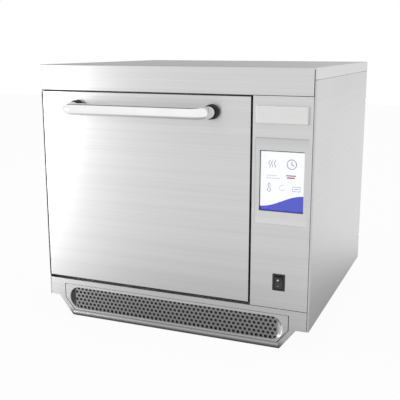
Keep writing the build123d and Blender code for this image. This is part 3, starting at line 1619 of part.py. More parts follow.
# Boards on the bulkhead
board_x = bulkhead_x + chassis_sheet + board_standoff
board_bounds = (
    (control_board_setback, control_board_length, control_board_bottom, control_board_height),
    (relay_board_setback, relay_board_length, relay_board_bottom, relay_board_height),
)
with BuildPart() as board_standoffs:
    for setback, length, bottom, height in board_bounds:
        with BuildSketch(Plane(origin=(board_x, 0, 0), x_dir=(0, 1, 0), z_dir=(1, 0, 0))):
            with Locations((front_y + setback + length / 2, case_z + bottom + height / 2)):
                with GridLocations(length - 2 * board_corner_inset, height - 2 * board_corner_inset, 2, 2):
                    Circle(board_standoff_radius)
        extrude(amount=-board_standoff)
pieces["board_standoffs"] = board_standoffs

board_face_x = board_x + board_thickness
with BuildPart() as control_board:
    board_y = front_y + control_board_setback
    board_z = case_z + control_board_bottom
    slab(
        board_x, board_face_x, board_y, board_y + control_board_length,
        board_z, board_z + control_board_height,
    )
    middle_y = board_y + control_board_length / 2
    middle_z = board_z + control_board_height / 2
    slab(
        board_face_x, board_face_x + chip_height, middle_y - chip_size / 2, middle_y + chip_size / 2,
        middle_z - chip_size / 2, middle_z + chip_size / 2,
    )
    slab(
        board_face_x, board_face_x + heat_sink_height, board_y + board_corner_inset,
        board_y + board_corner_inset + heat_sink_size,
        board_z + control_board_height - board_corner_inset - heat_sink_size,
        board_z + control_board_height - board_corner_inset,
    )
pieces["control_board"] = control_board

with BuildPart() as relay_board:
    board_y = front_y + relay_board_setback
    board_z = case_z + relay_board_bottom
    slab(
        board_x, board_face_x, board_y, board_y + relay_board_length,
        board_z, board_z + relay_board_height,
    )
    for relay in range(relay_count):
        relay_z = board_z + board_corner_inset + relay * relay_pitch
        slab(
            board_face_x, board_face_x + relay_height, board_y + relay_board_length / 2,
            board_y + relay_board_length / 2 + relay_depth, relay_z, relay_z + relay_width,
        )
pieces["relay_board"] = relay_board

# Mains filter and terminal block on the base plate, strain relief for the cord in the rear panel
mains_right_x = right_x - mains_filter_right_inset
mains_left_x = mains_right_x - mains_filter_width
mains_y = back_y - mains_filter_rear_inset - mains_filter_depth
with BuildPart() as mains_filter:
    slab(
        mains_left_x, mains_right_x, mains_y, mains_y + mains_filter_depth,
        base_top_z, base_top_z + mains_filter_height,
    )
    fillet(mains_filter.faces().sort_by(Axis.Z)[-1].edges(), casing_sheet)
pieces["mains_filter"] = mains_filter

with BuildPart() as terminal_block:
    terminal_y = mains_y - terminal_gap - terminal_depth
    slab(
        mains_left_x, mains_left_x + terminal_width, terminal_y, terminal_y + terminal_depth,
        base_top_z, base_top_z + terminal_height,
    )
    with BuildSketch(Plane.XY.offset(base_top_z + terminal_height)):
        with Locations((mains_left_x + terminal_width / 2, terminal_y + terminal_depth / 2)):
            with GridLocations(terminal_width / terminal_count, terminal_width, terminal_count, 1):
                Circle(terminal_screw_radius)
    extrude(amount=-terminal_screw_depth, mode=Mode.SUBTRACT)
pieces["terminal_block"] = terminal_block

with BuildPart() as strain_relief:
    rod(cord_x, cord_z, back_y, back_y + rear_reach, strain_relief_radius)
    fillet(strain_relief.faces().sort_by(Axis.Y)[-1].edges(), casing_sheet)
    rod(
        cord_x, cord_z, back_y - strain_relief_neck_length, back_y,
        strain_relief_neck_radius - strain_relief_fit,
    )
    rod(
        cord_x, cord_z, back_y - strain_relief_neck_length - overrun, back_y + rear_reach + overrun,
        cord_bore_radius, mode=Mode.SUBTRACT,
    )
pieces["strain_relief"] = strain_relief

# Casing screws: at the rear edges of the side panels, along the foot of the rear panel and on the top cover
with BuildPart() as casing_screws:
    for screw_x in edge_screw_xs:
        for screw_z, seat_y in ((base_screw_z, back_y), (lid_screw_z, back_y + lid_overhang)):
            rod(screw_x, screw_z, seat_y, seat_y + screw_head_height, screw_head_radius)
            rod(screw_x, screw_z, seat_y - screw_shank_length, seat_y, screw_shank_radius)
    for side in (-1, 1):
        for height in notch_heights:
            head_x = side * (side_inner_x + screw_head_height / 2)
            shank_x = side * (side_inner_x - screw_shank_length / 2)
            with Locations(Location((head_x, notch_screw_y, case_z + height), (0, 90, 0))):
                Cylinder(screw_head_radius, screw_head_height)
            with Locations(Location((shank_x, notch_screw_y, case_z + height), (0, 90, 0))):
                Cylinder(screw_shank_radius, screw_shank_length)
pieces["casing_screws"] = casing_screws

os.makedirs("parts", exist_ok=True)
for name, piece in pieces.items():
    piece.part.label = name
    export_step(piece.part, f"parts/{name}.step")
    print(name, len(piece.part.solids()), "solids", round(piece.part.volume), "mm3")
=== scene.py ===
import json
import math

import bpy
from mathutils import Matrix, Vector


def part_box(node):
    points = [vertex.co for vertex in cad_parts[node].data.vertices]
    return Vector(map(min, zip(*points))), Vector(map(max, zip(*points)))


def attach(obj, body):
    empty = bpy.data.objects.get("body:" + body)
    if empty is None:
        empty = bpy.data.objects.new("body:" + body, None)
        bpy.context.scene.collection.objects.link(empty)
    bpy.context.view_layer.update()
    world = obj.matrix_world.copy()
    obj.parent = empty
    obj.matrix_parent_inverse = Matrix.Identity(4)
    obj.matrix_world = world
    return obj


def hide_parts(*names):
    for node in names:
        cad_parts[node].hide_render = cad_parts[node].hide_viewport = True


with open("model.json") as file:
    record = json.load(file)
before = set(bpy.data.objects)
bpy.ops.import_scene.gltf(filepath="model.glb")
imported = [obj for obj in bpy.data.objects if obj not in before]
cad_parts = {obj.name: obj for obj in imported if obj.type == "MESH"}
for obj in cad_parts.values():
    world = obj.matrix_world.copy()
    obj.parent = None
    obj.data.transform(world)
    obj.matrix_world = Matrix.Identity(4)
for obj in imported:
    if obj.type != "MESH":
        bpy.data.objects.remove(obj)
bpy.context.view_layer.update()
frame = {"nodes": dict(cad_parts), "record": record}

print("frame loaded:", len(frame["nodes"]), "nodes")


# Helpers for node materials
def newMaterial(name):
    material = bpy.data.materials.new(name)
    material.use_nodes = True
    tree = material.node_tree
    return material, tree, tree.nodes["Principled BSDF"]


def addNode(tree, kind, values=None, **settings):
    node = tree.nodes.new(kind)
    for key, value in settings.items():
        setattr(node, key, value)
    for key, value in (values or {}).items():
        node.inputs[key].default_value = value
    return node


def wire(tree, source, target):
    tree.links.new(source, target)


def splitVector(tree, vector):
    split = addNode(tree, "ShaderNodeSeparateXYZ")
    wire(tree, vector, split.inputs["Vector"])
    return split.outputs


def objectVector(tree, turn=(0, 0, 0)):
    coord = addNode(tree, "ShaderNodeTexCoord")
    mapping = addNode(tree, "ShaderNodeMapping", {"Rotation": turn})
    wire(tree, coord.outputs["Object"], mapping.inputs["Vector"])
    return mapping.outputs["Vector"]


def calculate(tree, operation, *values):
    node = addNode(tree, "ShaderNodeMath", operation=operation)
    for socket, value in zip(node.inputs, values):
        if isinstance(value, (int, float)):
            socket.default_value = value
        else:
            wire(tree, value, socket)
    return node.outputs["Value"]


def blendColors(tree, factor, first, second):
    mix = addNode(tree, "ShaderNodeMix", data_type="RGBA")
    wire(tree, factor, mix.inputs["Factor"])
    for key, value in (("A", first), ("B", second)):
        if hasattr(value, "is_linked"):
            wire(tree, value, mix.inputs[key])
        else:
            mix.inputs[key].default_value = (*value, 1)
    return mix.outputs["Result"]


def blendTones(tree, factor, tone, spread):  # a little darker to a little lighter than the tone
    dark = [value * (1 - spread) for value in tone]
    light = [min(1, value * (1 + spread)) for value in tone]
    return blendColors(tree, factor, dark, light)


def pickVector(tree, factor, first, second):
    pick = addNode(tree, "ShaderNodeMix", data_type="VECTOR")
    wire(tree, factor, pick.inputs["Factor"])
    wire(tree, first, pick.inputs["A"])
    wire(tree, second, pick.inputs["B"])
    return pick.outputs["Result"]


def mapValue(tree, value, low, high, newLow, newHigh):
    limits = {"From Min": low, "From Max": high, "To Min": newLow, "To Max": newHigh}
    node = addNode(tree, "ShaderNodeMapRange", limits)
    wire(tree, value, node.inputs["Value"])
    return node.outputs["Result"]


def swingAround(tree, source, swing, middle):
    return calculate(tree, "MULTIPLY_ADD", source, swing, middle - swing / 2)


def addRelief(tree, shader, height, strength, distance):
    relief = addNode(tree, "ShaderNodeBump", {"Strength": strength, "Distance": distance})
    wire(tree, height, relief.inputs["Height"])
    wire(tree, relief.outputs["Normal"], shader.inputs["Normal"])


def addGroup(tree, group, values):
    return addNode(tree, "ShaderNodeGroup", values, node_tree=group).outputs


def newGroup(name, inputs, outputs):  # all its sockets are numbers
    group = bpy.data.node_groups.new(name, "ShaderNodeTree")
    for key, value in inputs.items():
        socket = group.interface.new_socket(key, in_out="INPUT", socket_type="NodeSocketFloat")
        socket.default_value = value
    for key in outputs:
        group.interface.new_socket(key, in_out="OUTPUT", socket_type="NodeSocketFloat")
    return group, group.nodes.new("NodeGroupInput"), group.nodes.new("NodeGroupOutput")


# Shared effects
brushing = {
    "along": 3.0,
    "across": 900.0,
    "fineScale": 1.0,
    "fineDetail": 4.0,
    "broadScale": 0.16,
    "broadDetail": 3.0,
    "noiseRoughness": 0.6,
    "broadHeight": 0.5,
    "facing": 0.7,
    "darkLevel": 0.7,
    "lightLevel": 1.3,
    "contrast": 0.05,
    "roughnessSwing": 0.10,
    "mottleScale": 5.0,
    "mottleSwing": 0.02,
    "bump": 0.02,
    "bumpDistance": 0.0004,
    "stretch": 0.75,
    "stretchTurn": 0.25,
}
mottling = {
    "detail": 5.0,
    "noiseRoughness": 0.55,
    "lowLevel": 0.3,
    "highLevel": 0.7,
}


def facing(tree, axis):  # 1 on the faces that look along an axis, 0 on the others
    geometry = addNode(tree, "ShaderNodeNewGeometry")
    normal = splitVector(tree, geometry.outputs["Normal"])
    return calculate(tree, "GREATER_THAN", calculate(tree, "ABSOLUTE", normal[axis]), brushing["facing"])


def makeGrainGroup():  # long brush lines: along X on level and front faces, along Y on side faces
    group, entry, leave = newGroup(
        "brushGrain",
        {"Along": brushing["along"], "Across": brushing["across"]},
        ("Fine", "Broad", "Height"),
    )
    place = splitVector(group, addNode(group, "ShaderNodeTexCoord").outputs["Object"])
    sideFace = facing(group, "X")
    lines = {}
    for size in ("fine", "broad"):
        vectors = []
        for scales in (("Along", "Across", "Across"), ("Across", "Along", "Across")):
            combine = addNode(group, "ShaderNodeCombineXYZ")
            for axis, scale in zip("XYZ", scales):
                scaled = calculate(group, "MULTIPLY", place[axis], entry.outputs[scale])
                shrunk = calculate(group, "MULTIPLY", scaled, brushing[size + "Scale"])
                wire(group, shrunk, combine.inputs[axis])
            vectors.append(combine.outputs["Vector"])
        noise = addNode(group, "ShaderNodeTexNoise", {
            "Scale": 1.0, "Detail": brushing[size + "Detail"], "Roughness": brushing["noiseRoughness"],
        })
        wire(group, pickVector(group, sideFace, *vectors), noise.inputs["Vector"])
        lines[size] = noise.outputs["Fac"]
    height = calculate(group, "MULTIPLY_ADD", lines["broad"], brushing["broadHeight"], lines["fine"])
    wire(group, lines["fine"], leave.inputs["Fine"])
    wire(group, lines["broad"], leave.inputs["Broad"])
    wire(group, height, leave.inputs["Height"])
    return group


def makeMottleGroup():  # slow variation from handling, rolling or moulding
    group, entry, leave = newGroup("mottle", {"Scale": 8.0, "Low": 0.0, "High": 1.0}, ("Value",))
    coord = addNode(group, "ShaderNodeTexCoord")
    noise = addNode(group, "ShaderNodeTexNoise", {
        "Detail": mottling["detail"], "Roughness": mottling["noiseRoughness"],
    })
    wire(group, coord.outputs["Object"], noise.inputs["Vector"])
    wire(group, entry.outputs["Scale"], noise.inputs["Scale"])
    spread = addNode(group, "ShaderNodeMapRange", {
        "From Min": mottling["lowLevel"], "From Max": mottling["highLevel"],
    })
    wire(group, noise.outputs["Fac"], spread.inputs["Value"])
    wire(group, entry.outputs["Low"], spread.inputs["To Min"])
    wire(group, entry.outputs["High"], spread.inputs["To Max"])
    wire(group, spread.outputs["Result"], leave.inputs["Value"])
    return group


grainGroup = makeGrainGroup()
mottleGroup = makeMottleGroup()


def addMottle(tree, scale, low=0.0, high=1.0):
    return addGroup(tree, mottleGroup, {"Scale": scale, "Low": low, "High": high})["Value"]


# Brushed steel
def setGrainDirection(tree, shader):  # highlights stretch across the brush lines
    tangents = [addNode(tree, "ShaderNodeTangent", direction_type="RADIAL", axis=axis) for axis in "ZY"]
    outputs = [tangent.outputs["Tangent"] for tangent in tangents]
    wire(tree, pickVector(tree, facing(tree, "Z"), *outputs), shader.inputs["Tangent"])
    shader.inputs["Anisotropic"].default_value = brushing["stretch"]
    shader.inputs["Anisotropic Rotation"].default_value = brushing["stretchTurn"]


def brushedSteel(name, tone, roughness, along=brushing["along"], across=brushing["across"], shading=None):
    material, tree, shader = newMaterial(name)
    grain = addGroup(tree, grainGroup, {"Along": along, "Across": across})
    lines = calculate(tree, "ADD", grain["Fine"], grain["Broad"])
    factor = mapValue(tree, lines, brushing["darkLevel"], brushing["lightLevel"], 0.0, 1.0)
    color = blendTones(tree, factor, tone, brushing["contrast"])
    if shading:
        color = shading(tree, color)
    wire(tree, color, shader.inputs["Base Color"])
    setGrainDirection(tree, shader)
    mottle = addMottle(tree, brushing["mottleScale"], -1.0, 1.0)
    rough = swingAround(tree, grain["Fine"], brushing["roughnessSwing"], roughness)
    rough = calculate(tree, "MULTIPLY_ADD", mottle, brushing["mottleSwing"], rough)
    wire(tree, rough, shader.inputs["Roughness"])
    shader.inputs["Metallic"].default_value = 1.0
    addRelief(tree, shader, grain["Height"], brushing["bump"], brushing["bumpDistance"])
    return material


hem = {  # the folded front edge of the left side panel, where it faces the door, with painted shade in the gap
    "tone": (0.02, 0.02, 0.02),
    "clear": 0.0018,
    "full": 0.0023,
}
dish = {  # the sunk middle of the air filter plate, with painted shade on its floor and its left end wall
    "tone": (0.34, 0.34, 0.343),
    "clear": 0.0005,
    "full": 0.003,
    "endTone": (0.09, 0.09, 0.092),
    "endReach": 0.0225,
    "endSoft": 0.003,
}
lip = {  # the rolled lower edge of the lower front panel, with painted shade along its lower part
    "tone": (0.14, 0.14, 0.14),
    "clear": 0.018,
    "full": 0.004,
}
field = {  # the pressed field round the touch screen, with painted shade under its upper edge and painted light above its lower edge
    "half": 0.053,
    "belowGlass": 0.0195,
    "height": 0.1686,
    "soft": 0.003,
    "shadeTone": (0.36, 0.36, 0.36),
    "lightTone": (0.86, 0.86, 0.86),
    "edgeReach": 0.0025,
    "edgeStrength": 0.75,
    "fadeReach": 0.018,
    "fadeStrength": 0.30,
    "glowReach": 0.030,
    "glowStrength": 0.40,
}


def shadeHem(tree, color):  # painted shade in the gap beside the door; it ends where the door ends
    place = splitVector(tree, objectVector(tree))
    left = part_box("left_side_panel")[0].x
    doorLow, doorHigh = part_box("door_outer_skin")
    shaded = mapValue(tree, place["X"], left + hem["clear"], left + hem["full"], 0.0, 1.0)
    above = calculate(tree, "GREATER_THAN", place["Z"], doorLow.z)
    below = calculate(tree, "LESS_THAN", place["Z"], doorHigh.z)
    shaded = calculate(tree, "MULTIPLY", shaded, calculate(tree, "MULTIPLY", above, below))
    return blendColors(tree, shaded, color, hem["tone"])


def shadeDish(tree, color):  # painted shade on its sunk floor, and darker painted shade on its left end wall, which turns away from the light
    place = splitVector(tree, objectVector(tree))
    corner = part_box("air_filter_frame")[0]
    clear = corner.y + dish["clear"]
    end = corner.x + dish["endReach"]
    shaded = mapValue(tree, place["Y"], clear, corner.y + dish["full"], 0.0, 1.0)
    color = blendColors(tree, shaded, color, dish["tone"])
    aside = mapValue(tree, place["X"], end, end + dish["endSoft"], 1.0, 0.0)
    deep = calculate(tree, "GREATER_THAN", place["Y"], clear)
    return blendColors(tree, calculate(tree, "MULTIPLY", aside, deep), color, dish["endTone"])


def shadeLip(tree, color):  # painted shade, darker towards the counter
    place = splitVector(tree, objectVector(tree))
    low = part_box("lower_front_panel")[0].z
    shaded = mapValue(tree, place["Z"], low + lip["clear"], low + lip["full"], 0.0, 1.0)
    return blendColors(tree, shaded, color, lip["tone"])


def shadeField(tree, color):  # painted shade under its rounded upper edge, which turns down, and painted light above its lower edge, which turns up
    place = splitVector(tree, objectVector(tree))
    glassLow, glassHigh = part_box("touch_glass")
    bottom = glassLow.z - field["belowGlass"]
    top = bottom + field["height"]
    middle = (glassLow.x + glassHigh.x) / 2
    aside = calculate(tree, "ABSOLUTE", calculate(tree, "SUBTRACT", place["X"], middle))
    within = mapValue(tree, aside, field["half"] - field["soft"], field["half"], 1.0, 0.0)
    for kind, edge, inward, tone in (
        ("edge", top, -1, field["shadeTone"]),
        ("fade", top, -1, field["shadeTone"]),
        ("glow", bottom, 1, field["lightTone"]),
    ):
        run = calculate(tree, "MULTIPLY", calculate(tree, "SUBTRACT", place["Z"], edge), inward)
        inside = calculate(tree, "MULTIPLY", calculate(tree, "GREATER_THAN", run, 0.0), within)
        fade = mapValue(tree, run, 0.0, field[kind + "Reach"], field[kind + "Strength"], 0.0)
        color = blendColors(tree, calculate(tree, "MULTIPLY", fade, inside), color, tone)
    return color


steels = {
    "brushedCasing": {"tone": (0.655, 0.655, 0.653), "roughness": 0.34},
    "panelSteel": {"tone": (0.655, 0.655, 0.653), "roughness": 0.34, "shading": shadeField},
    "lipSteel": {"tone": (0.655, 0.655, 0.653), "roughness": 0.34, "shading": shadeLip},
    "dishSteel": {"tone": (0.655, 0.655, 0.653), "roughness": 0.34, "shading": shadeDish},
    # the side panels are the casing steel in a darker tone: painted shade on the sides
    "sideSteel": {"tone": (0.585, 0.585, 0.583), "roughness": 0.34},
    "hemSteel": {"tone": (0.585, 0.585, 0.583), "roughness": 0.34, "shading": shadeHem},
    "cavitySteel": {"tone": (0.55, 0.55, 0.53), "roughness": 0.34, "along": 5.0, "across": 600.0},
}


# Other metals
metalSurface = {
    "roughnessSwing": 0.12,
    "bumpDistance": 0.0003,
}


def plainMetal(name, tone, roughness, spangle=60.0, spread=0.06, bump=0.03):
    material, tree, shader = newMaterial(name)
    mottle = addMottle(tree, spangle)
    wire(tree, blendTones(tree, mottle, tone, spread), shader.inputs["Base Color"])
    rough = swingAround(tree, mottle, metalSurface["roughnessSwing"], roughness)
    wire(tree, rough, shader.inputs["Roughness"])
    shader.inputs["Metallic"].default_value = 1.0
    addRelief(tree, shader, mottle, bump, metalSurface["bumpDistance"])
    return material


metals = {
    "zincSheet": {"tone": (0.52, 0.53, 0.54), "roughness": 0.42},
    "chromeTube": {
        "tone": (0.90, 0.90, 0.905), "roughness": 0.10, "spangle": 20.0, "spread": 0.02, "bump": 0.003,
    },
    "brightSteel": {"tone": (0.62, 0.62, 0.62), "roughness": 0.28, "spangle": 200.0},
    "castAluminium": {
        "tone": (0.60, 0.61, 0.62), "roughness": 0.45, "spangle": 150.0, "spread": 0.1, "bump": 0.1,
    },
    "sheathedElement": {
        "tone": (0.10, 0.09, 0.08), "roughness": 0.5, "spangle": 120.0, "spread": 0.2, "bump": 0.1,
    },
    "laminatedCore": {"tone": (0.12, 0.12, 0.13), "roughness": 0.5, "spangle": 400.0, "spread": 0.2},
    "enamelledCopper": {
        "tone": (0.62, 0.26, 0.12), "roughness": 0.35, "spangle": 300.0, "spread": 0.2, "bump": 0.2,
    },
}


# Plastics, rubbers, paints, ceramic, wool
mouldSurface = {
    "mottleScale": 30.0,
    "roughnessSwing": 0.08,
    "poreDetail": 2.0,
    "bumpDistance": 0.0002,
}


def moulded(name, tone, roughness, grain=900.0, spread=0.08, bump=0.08, coat=0.0, gloss=0.5):
    material, tree, shader = newMaterial(name)
    mottle = addMottle(tree, mouldSurface["mottleScale"])
    wire(tree, blendTones(tree, mottle, tone, spread), shader.inputs["Base Color"])
    rough = swingAround(tree, mottle, mouldSurface["roughnessSwing"], roughness)
    wire(tree, rough, shader.inputs["Roughness"])
    shader.inputs["Coat Weight"].default_value = coat
    shader.inputs["Specular IOR Level"].default_value = gloss
    pores = addNode(tree, "ShaderNodeTexNoise", {"Scale": grain, "Detail": mouldSurface["poreDetail"]})
    wire(tree, objectVector(tree), pores.inputs["Vector"])
    addRelief(tree, shader, pores.outputs["Fac"], bump, mouldSurface["bumpDistance"])
    return material


mouldings = {
    "coverPlastic": {"tone": (0.74, 0.74, 0.737), "roughness": 0.42, "spread": 0.02},
    "blackPlastic": {"tone": (0.012, 0.012, 0.013), "roughness": 0.35},
    "rockerPlastic": {"tone": (0.030, 0.030, 0.031), "roughness": 0.4},
    "bushPlastic": {"tone": (0.012, 0.012, 0.013), "roughness": 0.5, "gloss": 0.2},
    "blackRubber": {"tone": (0.02, 0.02, 0.02), "roughness": 0.6, "spread": 0.15},
    "gasketRubber": {"tone": (0.12, 0.12, 0.125), "roughness": 0.6, "spread": 0.1},
    "sealRubber": {"tone": (0.10, 0.095, 0.09), "roughness": 0.55, "spread": 0.15},
    "cookPlateCoating": {
        "tone": (0.018, 0.018, 0.018), "roughness": 0.45, "grain": 500.0, "spread": 0.3, "bump": 0.2,
    },
    "ovenCeramic": {
        "tone": (0.72, 0.70, 0.64), "roughness": 0.3, "spread": 0.05, "bump": 0.05, "coat": 0.3,
    },
    "insulationWool": {
        "tone": (0.62, 0.58, 0.45), "roughness": 0.9, "grain": 120.0, "spread": 0.2, "bump": 0.6,
    },
    "boardLaminate": {"tone": (0.02, 0.14, 0.05), "roughness": 0.35, "spread": 0.2, "coat": 0.2},
    "motorPaint": {"tone": (0.05, 0.055, 0.06), "roughness": 0.4, "spread": 0.15},
    "moduleCase": {"tone": (0.10, 0.10, 0.11), "roughness": 0.5, "spread": 0.1},
}


# Wire mesh behind the intake plate
weave = {
    "tone": (0.06, 0.06, 0.062),
    "pitch": 0.0022,
    "turn": 45,
    "gapShare": 0.12,
    "gapLevel": 0.55,
    "wireLevel": 0.95,
    "gapRoughness": 0.8,
    "wireRoughness": 0.4,
    "metallic": 0.9,
    "bump": 0.6,
    "bumpDistance": 0.0006,
}


def wovenMesh(name):
    material, tree, shader = newMaterial(name)
    place = splitVector(tree, objectVector(tree, (0, math.radians(weave["turn"]), 0)))
    waves = []
    for axis in "XZ":
        scaled = calculate(tree, "MULTIPLY", place[axis], 2 * math.pi / weave["pitch"])
        waves.append(calculate(tree, "ABSOLUTE", calculate(tree, "SINE", scaled)))
    wires = calculate(tree, "MAXIMUM", *waves)
    factor = mapValue(tree, wires, weave["gapLevel"], weave["wireLevel"], 0.0, 1.0)
    gap = [value * weave["gapShare"] for value in weave["tone"]]
    wire(tree, blendColors(tree, factor, gap, weave["tone"]), shader.inputs["Base Color"])
    rough = mapValue(tree, factor, 0.0, 1.0, weave["gapRoughness"], weave["wireRoughness"])
    wire(tree, rough, shader.inputs["Roughness"])
    shader.inputs["Metallic"].default_value = weave["metallic"]
    addRelief(tree, shader, wires, weave["bump"], weave["bumpDistance"])
    return material


# Finishes onto the CAD nodes
finishes = {name: brushedSteel(name, **values) for name, values in steels.items()}
finishes.update({name: plainMetal(name, **values) for name, values in metals.items()})
finishes.update({name: moulded(name, **values) for name, values in mouldings.items()})
finishes["filterMesh"] = wovenMesh("filterMesh")

nodeFinish = {
    "brushedCasing": ["top_cover", "door_outer_skin"],
    "panelSteel": ["control_panel"],
    "sideSteel": ["right_side_panel"],
    "hemSteel": ["left_side_panel"],
    "lipSteel": ["lower_front_panel"],
    "dishSteel": ["air_filter_frame"],
    "zincSheet": [
        "rear_panel", "base_plate", "bulkhead", "front_frame", "door_hinge_blocks", "hinge_arms",
        "interlock_brackets",
    ],
    "cavitySteel": ["cavity", "rear_baffle", "convection_fan", "steam_outlet", "door_inner_panel"],
    "chromeTube": ["handle_bar"],
    "brightSteel": [
        "casing_screws", "handle_screws", "hinge_pins", "motor_standoffs", "board_standoffs",
        "interlock_plungers", "data_socket",
    ],
    "castAluminium": ["magnetron", "waveguide", "stirrer", "capacitor", "mains_filter"],
    "sheathedElement": ["heater_element", "filter_magnets"],
    "laminatedCore": ["transformer_core"],
    "enamelledCopper": ["transformer_windings"],
    "coverPlastic": ["socket_cover"],
    "blackPlastic": [
        "switch_housing", "interlock_switches", "cooling_fan_frames", "left_rotor", "right_rotor",
        "terminal_block", "strain_relief",
    ],
    "bushPlastic": ["handle_bushes"],
    "rockerPlastic": ["power_rocker"],
    "blackRubber": ["feet"],
    "gasketRubber": ["screen_gasket"],
    "sealRubber": ["door_seal"],
    "cookPlateCoating": ["cook_plate"],
    "ovenCeramic": ["ceramic_floor"],
    "insulationWool": ["cavity_insulation", "door_insulation"],
    "boardLaminate": ["control_board", "relay_board"],
    "moduleCase": ["screen_module", "touch_glass"],
    "motorPaint": ["fan_motor", "stirrer_motor"],
    "filterMesh": ["air_filter_mesh"],
}
for finish, names in nodeFinish.items():
    for name in names:
        node = frame["nodes"][name]
        node.data.materials.clear()
        node.data.materials.append(finishes[finish])
print("finishes on", sum(len(names) for names in nodeFinish.values()), "nodes")


# Helpers for new pieces
def finishPiece(piece, name, material, body):
    piece.name = name
    piece.data.name = name
    piece.data.materials.clear()
    piece.data.materials.append(material)
    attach(piece, body)
    return piece


def selectOnly(piece):
    bpy.ops.object.select_all(action="DESELECT")
    piece.select_set(True)
    bpy.context.view_layer.objects.active = piece


def applyPlace(piece):
    selectOnly(piece)
    bpy.ops.object.transform_apply(location=True, rotation=True, scale=True)


def addSheet(low, high, rounding):  # a plate between two corners, its edges rounded
    bpy.ops.object.select_all(action="DESELECT")
    place = [(a + b) / 2 for a, b in zip(low, high)]
    bpy.ops.mesh.primitive_cube_add(size=1, location=place)
    piece = bpy.context.object
    piece.scale = [b - a for a, b in zip(low, high)]
    applyPlace(piece)
    bevel = piece.modifiers.new("softEdges", "BEVEL")
    bevel.width = rounding
    bevel.segments = 3
    selectOnly(piece)
    bpy.ops.object.modifier_apply(modifier=bevel.name)
    return piece


def addOutline(name, strokes, closed, weight, place, flat, lean=0.0):  # flat line work that faces -Y
    curve = bpy.data.curves.new(name, "CURVE")
    curve.dimensions = "3D"
    curve.bevel_depth = weight / 2
    curve.bevel_resolution = 1
    curve.use_fill_caps = True
    for points in strokes:
        spline = curve.splines.new("POLY")
        spline.points.add(len(points) - 1)
        for point, (across, up) in zip(spline.points, points):
            point.co = (across, 0, up, 1)
        spline.use_cyclic_u = closed
    piece = bpy.data.objects.new(name, curve)
    bpy.context.scene.collection.objects.link(piece)
    selectOnly(piece)
    bpy.ops.object.convert(target="MESH")
    piece = bpy.context.object
    piece.scale = (1, flat / weight, 1)
    applyPlace(piece)
    piece.rotation_euler = (lean, 0, 0)
    piece.location = place
    applyPlace(piece)
    return piece


def addFilled(name, points, thickness, place):  # a flat shape that faces -Y
    mesh = bpy.data.meshes.new(name)
    mesh.from_pydata([(across, 0, up) for across, up in points], [], [list(range(len(points)))])
    piece = bpy.data.objects.new(name, mesh)
    bpy.context.scene.collection.objects.link(piece)
    selectOnly(piece)
    bpy.ops.object.mode_set(mode="EDIT")
    bpy.ops.mesh.select_all(action="SELECT")
    bpy.ops.mesh.extrude_region_move(TRANSFORM_OT_translate={"value": (0, thickness, 0)})
    bpy.ops.mesh.select_all(action="SELECT")
    bpy.ops.mesh.normals_make_consistent(inside=False)
    bpy.ops.object.mode_set(mode="OBJECT")
    piece.location = place
    applyPlace(piece)
    return piece


def arcPoints(middle, radius, start, end, steps):
    angles = [math.radians(start + (end - start) * index / steps) for index in range(steps + 1)]
    return [
        (middle[0] + radius * math.cos(angle), middle[1] + radius * math.sin(angle)) for angle in angles
    ]


def ringPoints(middle, radius, count=24):
    return arcPoints(middle, radius, 0, 360 - 360 / count, count - 1)


# Touch screen: clear pane, lit ground, coloured band, plain symbols
pane = {
    "thickness": 0.0012,
    "rounding": 0.0003,
    "tone": (0.97, 0.985, 1.0, 1),
    "bending": 1.45,
    "smearScale": 22.0,
    "clean": 0.01,
    "smeared": 0.05,
}
display = {
    "thickness": 0.0005,
    "layer": 0.0001,
    "border": 0.0015,
    # the border all round is the display's own unlit edge; the extra strips at the left and top are
    # painted shade from the recess edges
    "leftMask": 0.0003,
    "topMask": 0.0028,
    "bandLow": 0.07,
    "bandRise": 0.21,
    "bandSteps": 24,
    "strokeWeight": 0.0015,
    "brightness": 0.95,
    "mottleScale": 14.0,
    "darkUnlit": 0.08,
    "lightUnlit": 0.1,
    "smoothest": 0.35,
    "roughest": 0.45,
}
displayColors = {
    "displayWhite": {"tone": (0.98, 0.98, 1.0), "spread": 0.02},
    "displayBlue": {"tone": (0.030, 0.045, 0.52), "spread": 0.02},
    "displaySlate": {"tone": (0.10, 0.10, 0.36), "spread": 0.1},
    "displayPale": {"tone": (0.62, 0.62, 0.80), "spread": 0.05},
    "displayRed": {"tone": (0.62, 0.05, 0.07), "spread": 0.1},
}
# Places on the display: across in widths of it, up in heights of it; sizes in widths of it
dial = {"across": 0.70, "up": 0.80, "radius": 0.105, "longHand": 0.07, "shortHand": (0.05, -0.03)}
steam = {
    "across": 0.20,
    "up": 0.735,
    "gap": 0.06,
    "count": 3,
    "sway": 0.018,
    "turn": 0.9,
    "rise": 0.018,
    "steps": 10,
}
bars = [  # name, colour, weight, and each bar's left, right and height
    ("redBar", "displayRed", 2.2, [(0.60, 0.78, 0.575)]),
    ("darkBar", "displaySlate", 1.6, [(0.58, 0.80, 0.612)]),
    ("paleBars", "displayPale", 1.2, [(0.13, 0.37, 0.60), (0.13, 0.44, 0.555)]),
]
thermometer = {
    "across": 0.20,
    "up": 0.37,
    "bulbDrop": 0.02,
    "bulbRadius": 0.038,
    "bulbArc": (118, 422, 18),
    "tubeRise": 0.115,
    "tubeRadius": 0.018,
    "tubeArc": (0, 180, 8),
}
turnLoop = {"across": 0.50, "up": 0.40, "radius": 0.06, "arc": (60, 330, 16)}
tray = {"left": 0.735, "right": 0.90, "low": 0.355, "high": 0.43, "food": (0.77, 0.865, 0.392)}
symbolWeight = {"thin": 0.8, "loop": 1.1}


